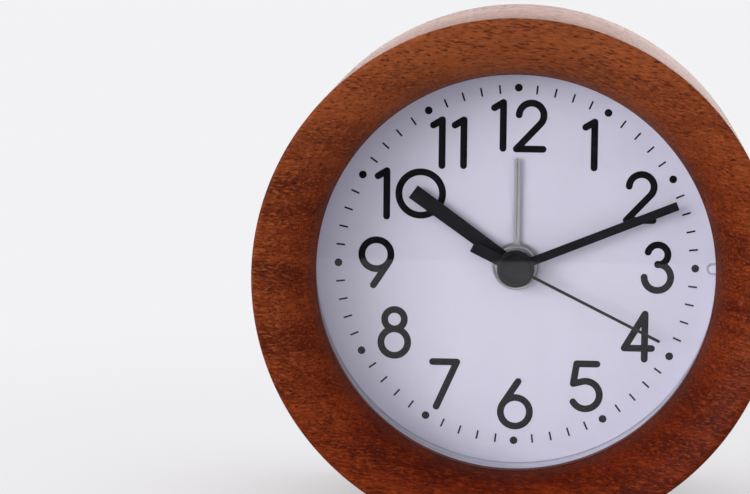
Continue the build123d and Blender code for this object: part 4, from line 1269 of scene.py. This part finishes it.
@dataclass
class BatteryDoor:
    """Flush door with a ribbed finger grip and two tabs under the cover's edge."""

    cover: BackCover
    clearance: float = 0.25
    front: float = 19.3
    corner: float = 0.3
    grip_level: float = -16.25
    grip_half: float = 6.0
    grip_width: float = 3.0
    grip_depth: float = 0.5
    ribs: tuple[float, ...] = (-3.6, -1.2, 1.2, 3.6)
    rib_width: float = 0.6
    tab_width: float = 6.0
    tab_front: float = 17.9
    tab_back: float = 18.9
    tab_reach: float = 1.5
    root_depth: float = 0.5
    root_inset: float = 0.01
    edge: float = 0.1

    def grip(self) -> Object:
        """Cutter for the finger grip, with its ribs left out."""
        half, back = self.grip_width / 2, self.cover.back
        reach = self.grip_half - half
        outline = slot_outline(-reach, reach, self.grip_level, half, END)
        cutter = raise_outline("grip", [outline], back - self.grip_depth, back + PASS)
        for middle in self.ribs:
            low = (middle - self.rib_width / 2, back - PASS, self.grip_level - self.grip_width)
            high = (middle + self.rib_width / 2, back + 2 * PASS, self.grip_level + self.grip_width)
            cut(cutter, add_block("rib", low, high))
        return cutter

    def tab(self, middle: float, foot: float) -> Object:
        """Tab under the cover's edge, with its root at the foot of the door."""
        start, end, top = middle - self.tab_width / 2, middle + self.tab_width / 2, foot + self.tab_reach
        low, high = (start, self.tab_front, foot + self.root_inset), (end, self.front + self.root_depth, top)
        tab = add_block("tab", (start, self.tab_front, foot - self.tab_reach), (end, self.tab_back, top))
        return fuse(add_block("root", low, high), tab)

    def build(self, plastic: Material) -> Object:
        """Model the door."""
        cover = self.cover
        half_length = cover.tray_half_length - self.clearance
        half_height = cover.tray_half_height - self.clearance
        foot = cover.tray_level - half_height
        high = (half_length, cover.tray_level + half_height)
        outline = rounded_box((-half_length, foot), high, self.corner)
        door = raise_outline("battery_door_panel", [outline], self.front, cover.back)
        for middle in (-cover.tab_spacing, cover.tab_spacing):
            fuse(door, self.tab(middle, foot))
        cut(door, self.grip())
        round_edges(door, self.edge)
        return finish_piece(door, plastic, "door", "cover_abs", "battery_door")


@dataclass
class SettingKnobs:
    """Two fluted knobs, each pressed on its shaft."""

    cover: BackCover
    radius: float = 5.6
    front: float = 20.6
    back: float = 23.2
    flutes: int = 18
    flute_radius: float = 0.45
    bore: float = 1.2
    bore_depth: float = 1.6
    edge: float = 0.16

    def outline(self, place: Point) -> list[Point]:
        """Outline of the knob, with a round flute at every step."""
        pitch = 2 * pi / self.flutes
        gap = 2 * asin(self.flute_radius / 2 / self.radius)
        points = []
        for step in range(self.flutes):
            middle = polar(self.radius, pitch * step, place)
            for turn in range(9):
                angle = pitch * step - HALF_PI + gap / 2 - (pi - gap) * turn / 8
                points.append(polar(self.flute_radius, angle, middle))
            for turn in range(1, 5):
                points.append(polar(self.radius, pitch * step + gap + (pitch - 2 * gap) * turn / 5, place))
        return points

    def build(self, plastic: Material) -> None:
        """Model both knobs."""
        bore = ring_section(0.0, self.bore, self.front - PASS, self.front + self.bore_depth)
        for name, place in zip(("time", "alarm"), self.cover.knob_places):
            knob = raise_outline(f"{name}_knob_fluted", [self.outline(place)], self.front, self.back)
            cut(knob, turn_profile("bore", bore, HOLE, place, closed=False))
            round_edges(knob, self.edge)
            finish_piece(knob, plastic, f"{name}_setting", "knob_abs", f"{name}_setting_knob")


@dataclass
class CoverScrews:
    """Three pan-head screws with a straight slot."""

    cover: BackCover
    shank: float = 1.1
    head: float = 2.1
    head_height: float = 1.1
    length: float = 9.0
    slot_width: float = 0.6
    slot_depth: float = 0.5
    edge: float = 0.06

    def build(self, steel: Material) -> Object:
        """Model one screw and copy it to its places."""
        seat, crown = self.cover.back, self.head_height / 2
        top = seat + self.head_height
        profile = [(0.0, seat - self.length), (self.shank, seat - self.length), (self.shank, seat)]
        profile += [(self.head, seat), *arc((self.head - crown, seat + crown), crown, 0, 90, CORNER)]
        profile.append((0.0, top))
        screw = turn_profile("screw", profile, SMALL, closed=False)
        low = (-2 * self.head, top - self.slot_depth, -self.slot_width / 2)
        cut(screw, add_block("slot", low, (2 * self.head, top + PASS, self.slot_width / 2)))
        round_edges(screw, self.edge)
        screws = [copy_to(screw, "screw", (x, 0.0, z)) for x, z in self.cover.screw_places()]
        bpy.data.objects.remove(screw, do_unlink=True)
        return finish_piece(gather(screws, "cover_screw_set"), steel, "case", "zinc_steel", "cover_screws")


@dataclass
class AlarmSwitch:
    """Thumb piece of the alarm switch on its stem, with one groove across."""

    cover: BackCover
    travel: float = 3.0
    width: float = 4.4
    length: float = 4.0
    corner: float = 0.35
    front: float = 21.05
    back: float = 22.35
    groove: float = 0.6
    stem_front: float = 16.45
    stem_width: float = 1.6
    stem_length: float = 2.4
    stem_overlap: float = 0.2
    edge: float = 0.14

    def build(self, plastic: Material) -> Object:
        """Model the slider in its off position."""
        x, z = self.cover.switch_place[0], self.cover.switch_place[1] - self.travel / 2
        across, along = self.width / 2, self.length / 2
        outline = rounded_box((x - across, z - along), (x + across, z + along), self.corner)
        slider = raise_outline("alarm_switch_thumb", [outline], self.front, self.back)
        middle, half = (self.front + self.back) / 2, self.groove / 2
        low, high = (x - self.width, middle, z - half), (x + self.width, self.back + PASS, z + half)
        cut(slider, add_block("groove", low, high))
        across, along = self.stem_width / 2, self.stem_length / 2
        low = (x - across, self.stem_front, z - along)
        fuse(slider, add_block("stem", low, (x + across, self.front + self.stem_overlap, z + along)))
        round_edges(slider, self.edge)
        return finish_piece(slider, plastic, "alarm_switch", "switch_black", "alarm_switch_slider")


@dataclass
class Battery:
    """AA cell across the clock: a steel can with its nub, and a printed sleeve shrunk over it."""

    level: float = -20.55
    depth: float = 11.75
    radius: float = 7.25
    can: float = 7.13
    can_edge: float = 0.6
    start: float = -25.25
    end: float = 24.25
    nub_radius: float = 2.75
    nub_length: float = 1.0
    nub_edge: float = 0.2
    shoulder: Triple = (1.2, 1.0, 0.25)
    lap: float = 0.9
    sleeve_edge: Point = (0.02, 0.05)
    sleeve_inset: float = 0.1

    def lay(self, name: str, profile: Sequence[Point], material: Material, *nodes: str) -> Object:
        """Turn a profile, whose depths run along x, lay it across the clock and give it its finish."""
        piece = turn_profile(name, profile, MIDDLING, (-self.depth, self.level), closed=False)
        piece.rotation_euler = (0.0, 0.0, -HALF_PI)
        smooth(settle(piece))
        return finish_piece(piece, material, "case", "battery_sleeve", *nodes)

    def build(self, steel: Material, sleeve: Material) -> None:
        """Model the can and its sleeve."""
        edge, nub, tip = self.can_edge, self.nub_radius, self.end + self.nub_length
        outer, inner, fall = self.shoulder
        outline = [
            (0.0, self.start),
            *arc((self.can - edge, self.start + edge), edge, -90, 0, 5),
            *arc((self.can - edge, self.end - edge), edge, 0, 90, 5),
            (nub + outer, self.end),
            (nub + inner, self.end - fall),
            (nub, self.end - fall),
            (nub, tip - self.nub_edge),
            (nub - self.nub_edge, tip),
            (0.0, tip),
        ]
        self.lay("battery_can", outline, steel, "battery")
        low, high, inside = self.start + self.lap, self.end - self.lap, self.can - self.sleeve_inset
        rim, run = self.radius - self.sleeve_edge[0], self.sleeve_edge[1]
        wrap = [(inside, low), (rim, low), (self.radius, low + run), (self.radius, high - run)]
        wrap += [(rim, high), (inside, high), (inside, low)]
        self.lay("battery_sleeve", wrap, sleeve)


# --- studio -------------------------------------------------------------------------------------------------


@dataclass
class Softbox:
    """Rectangular lamp that faces the clock's middle and is itself out of sight, in millimetres and watts."""

    name: str
    place: Triple
    sides: Point
    power: float

    def build(self) -> None:
        """Hang the lamp."""
        data = bpy.data.lights.new(self.name, "AREA")
        data.shape = "RECTANGLE"
        data.size, data.size_y = map(mm, self.sides)
        data.energy = self.power
        lamp = link_new(self.name, data)
        lamp.location = start = Vector([mm(v) for v in self.place])
        lamp.visible_camera = False
        aim = Vector((0.0, 0.0, mm(AXIS_HEIGHT))) - start
        lamp.rotation_euler = aim.to_track_quat("-Z", "Y").to_euler()


@dataclass
class Studio:
    """White table, pale surroundings, soft lamps and the camera."""

    camera_azimuth: float = 3.81
    camera_elevation: float = 8.11
    camera_roll: float = 0.46
    camera_distance: float = 550.0
    camera_lens: float = 139.47
    camera_sensor: float = 36.0
    camera_clip: Point = (10.0, 20000.0)
    camera_target: Triple = (-26.34, -24.0, 53.44)
    floor_front: float = -344.0
    floor_back: float = 2600.0
    floor_half_width: float = 1500.0
    shadow_share: Range = (110.0, 220.0, 0.45, 1.0)
    table: str = "#E9E8EA"
    haze: str = "#F2F2F4"
    background: str = "#F3F3F5"
    room: str = "#BEBEC2"
    wall: str = "#1E1D20"
    bright_depth: Range = (-0.45, 0.35, 0.0, 1.0)
    bright_height: Range = (0.15, 0.9, 0.0, 1.0)
    wall_range: Range = (-0.95, -0.86, 1.0, 0.0)
    lamps: tuple[Softbox, ...] = (
        Softbox("key_softbox", (-850.0, -900.0, 300.0), (600.0, 600.0), 5.8),
        Softbox("fill_softbox", (900.0, -900.0, 200.0), (900.0, 900.0), 1.8),
        Softbox("front_softbox", (-200.0, -1100.0, 250.0), (500.0, 500.0), 1.5),
        Softbox("back_strip", (320.0, 1300.0, 290.0), (1900.0, 420.0), 10.4),
    )

    def camera(self) -> None:
        """Camera at the photograph's viewing angle."""
        turns = (self.camera_azimuth, self.camera_elevation, self.camera_roll)
        azimuth, elevation, roll = map(radians, turns)
        back = Vector((sin(azimuth) * cos(elevation), -cos(azimuth) * cos(elevation), sin(elevation)))
        right = (-back).cross(Vector((0.0, 0.0, 1.0))).normalized()
        up = back.cross(right)
        rolled_right = cos(roll) * right + sin(roll) * up
        rolled_up = cos(roll) * up - sin(roll) * right
        place = Vector([mm(v) for v in self.camera_target]) + back * mm(self.camera_distance)
        data = bpy.data.cameras.new("photo_camera")
        data.lens = self.camera_lens
        data.sensor_width = self.camera_sensor
        data.sensor_fit = "HORIZONTAL"
        data.clip_start, data.clip_end = map(mm, self.camera_clip)
        camera = link_new("photo_camera", data)
        turn = Matrix((rolled_right, rolled_up, back)).transposed()
        camera.matrix_world = Matrix.Translation(place) @ turn.to_4x4()
        bpy.context.scene.camera = camera

    def background_rays(self, graph: NodeGraph) -> NodeSocket:
        """One for camera, glossy and transmission rays, which all show the pale background."""
        path = graph.add("LightPath").outputs
        either = graph.maths("ADD", path["Is Camera Ray"], path["Is Glossy Ray"], clamp=True)
        return graph.maths("ADD", either, path["Is Transmission Ray"], clamp=True)

    def floor(self) -> None:
        """White table top, which ends a little way in front of the clock."""
        deselect()
        bpy.ops.mesh.primitive_plane_add(size=1.0)
        table = bpy.context.object
        table.name = "table_top"
        table.location = (0.0, mm(self.floor_front + self.floor_back) / 2, 0.0)
        table.scale = (mm(2 * self.floor_half_width), mm(self.floor_back - self.floor_front), 1.0)
        settle(table)
        material, graph = new_material("white_table")
        lit = graph.add("BsdfDiffuse", {"Color": linear(self.table)})
        glow = graph.add("Emission", {"Color": linear(self.haze), "Strength": 1.0})
        # Camera, metal and glass see the table's own even colour but round the clock, where its shadow shows
        even = graph.span_mm(graph.length(graph.place()), self.shadow_share)
        graph.mix(graph.maths("MULTIPLY", self.background_rays(graph), even), lit, glow)
        table.data.materials.append(material)

    def world(self) -> None:
        """Surroundings: bright behind and above, paler in front with a dark wall behind the camera."""
        world = bpy.data.worlds.new("studio_surroundings")
        bpy.context.scene.world = world
        world.use_nodes = True
        graph = NodeGraph(world.node_tree, "OutputWorld")
        parts = graph.add("SeparateXYZ", {0: graph.add("TexCoord").outputs["Generated"]}).outputs
        depth = graph.span(parts["Y"], *self.bright_depth)
        level = graph.maths("MAXIMUM", depth, graph.span(parts["Z"], *self.bright_height))
        shade = graph.blend(level, linear(self.room), linear(self.haze))
        colour = graph.blend(self.background_rays(graph), shade, linear(self.background))
        # A dark wall stands behind the camera, which itself never sees it
        to_camera = graph.add("LightPath").outputs["Is Camera Ray"]
        mirrored = graph.maths("SUBTRACT", graph.span(parts["Y"], *self.wall_range), to_camera, clamp=True)
        colour = graph.blend(mirrored, colour, linear(self.wall))
        graph.show(graph.add("Background", {"Color": colour, "Strength": 1.0}))

    def build(self) -> None:
        """Set up the table, the light and the camera."""
        self.floor()
        self.world()
        for lamp in self.lamps:
            lamp.build()
        self.camera()
        bpy.context.scene.view_settings.view_transform = "Standard"


def dress_cad_nodes(made: dict[str, Material]) -> None:
    """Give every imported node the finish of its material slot."""
    slots = {part["node"]: part["material_slot"] for part in frame["record"]["subparts"]}
    for name, node in frame["nodes"].items():
        for slot in node.material_slots:
            slot.material = made[slots[name]]
        log.info("%s: packed node in %s", name, slots[name])


def main() -> None:
    """Build the clock and its surroundings."""
    logging.basicConfig(level=logging.INFO, format="%(message)s")
    made = finishes()
    dress_cad_nodes(made)
    WoodenCase().build(made["lacquered_wood"])
    FootPads().build(made["clear_silicone"])
    FrontGlass().build(made["mineral_glass"])
    DialFace().build(made)
    add_hands(made)
    cover = BackCover()
    cover.build(made["cover_abs"])
    BatteryDoor(cover).build(made["cover_abs"])
    SettingKnobs(cover).build(made["knob_abs"])
    CoverScrews(cover).build(made["zinc_steel"])
    AlarmSwitch(cover).build(made["switch_black"])
    Battery().build(made["zinc_steel"], made["battery_sleeve"])
    Studio().build()


if __name__ == "__main__":
    main()
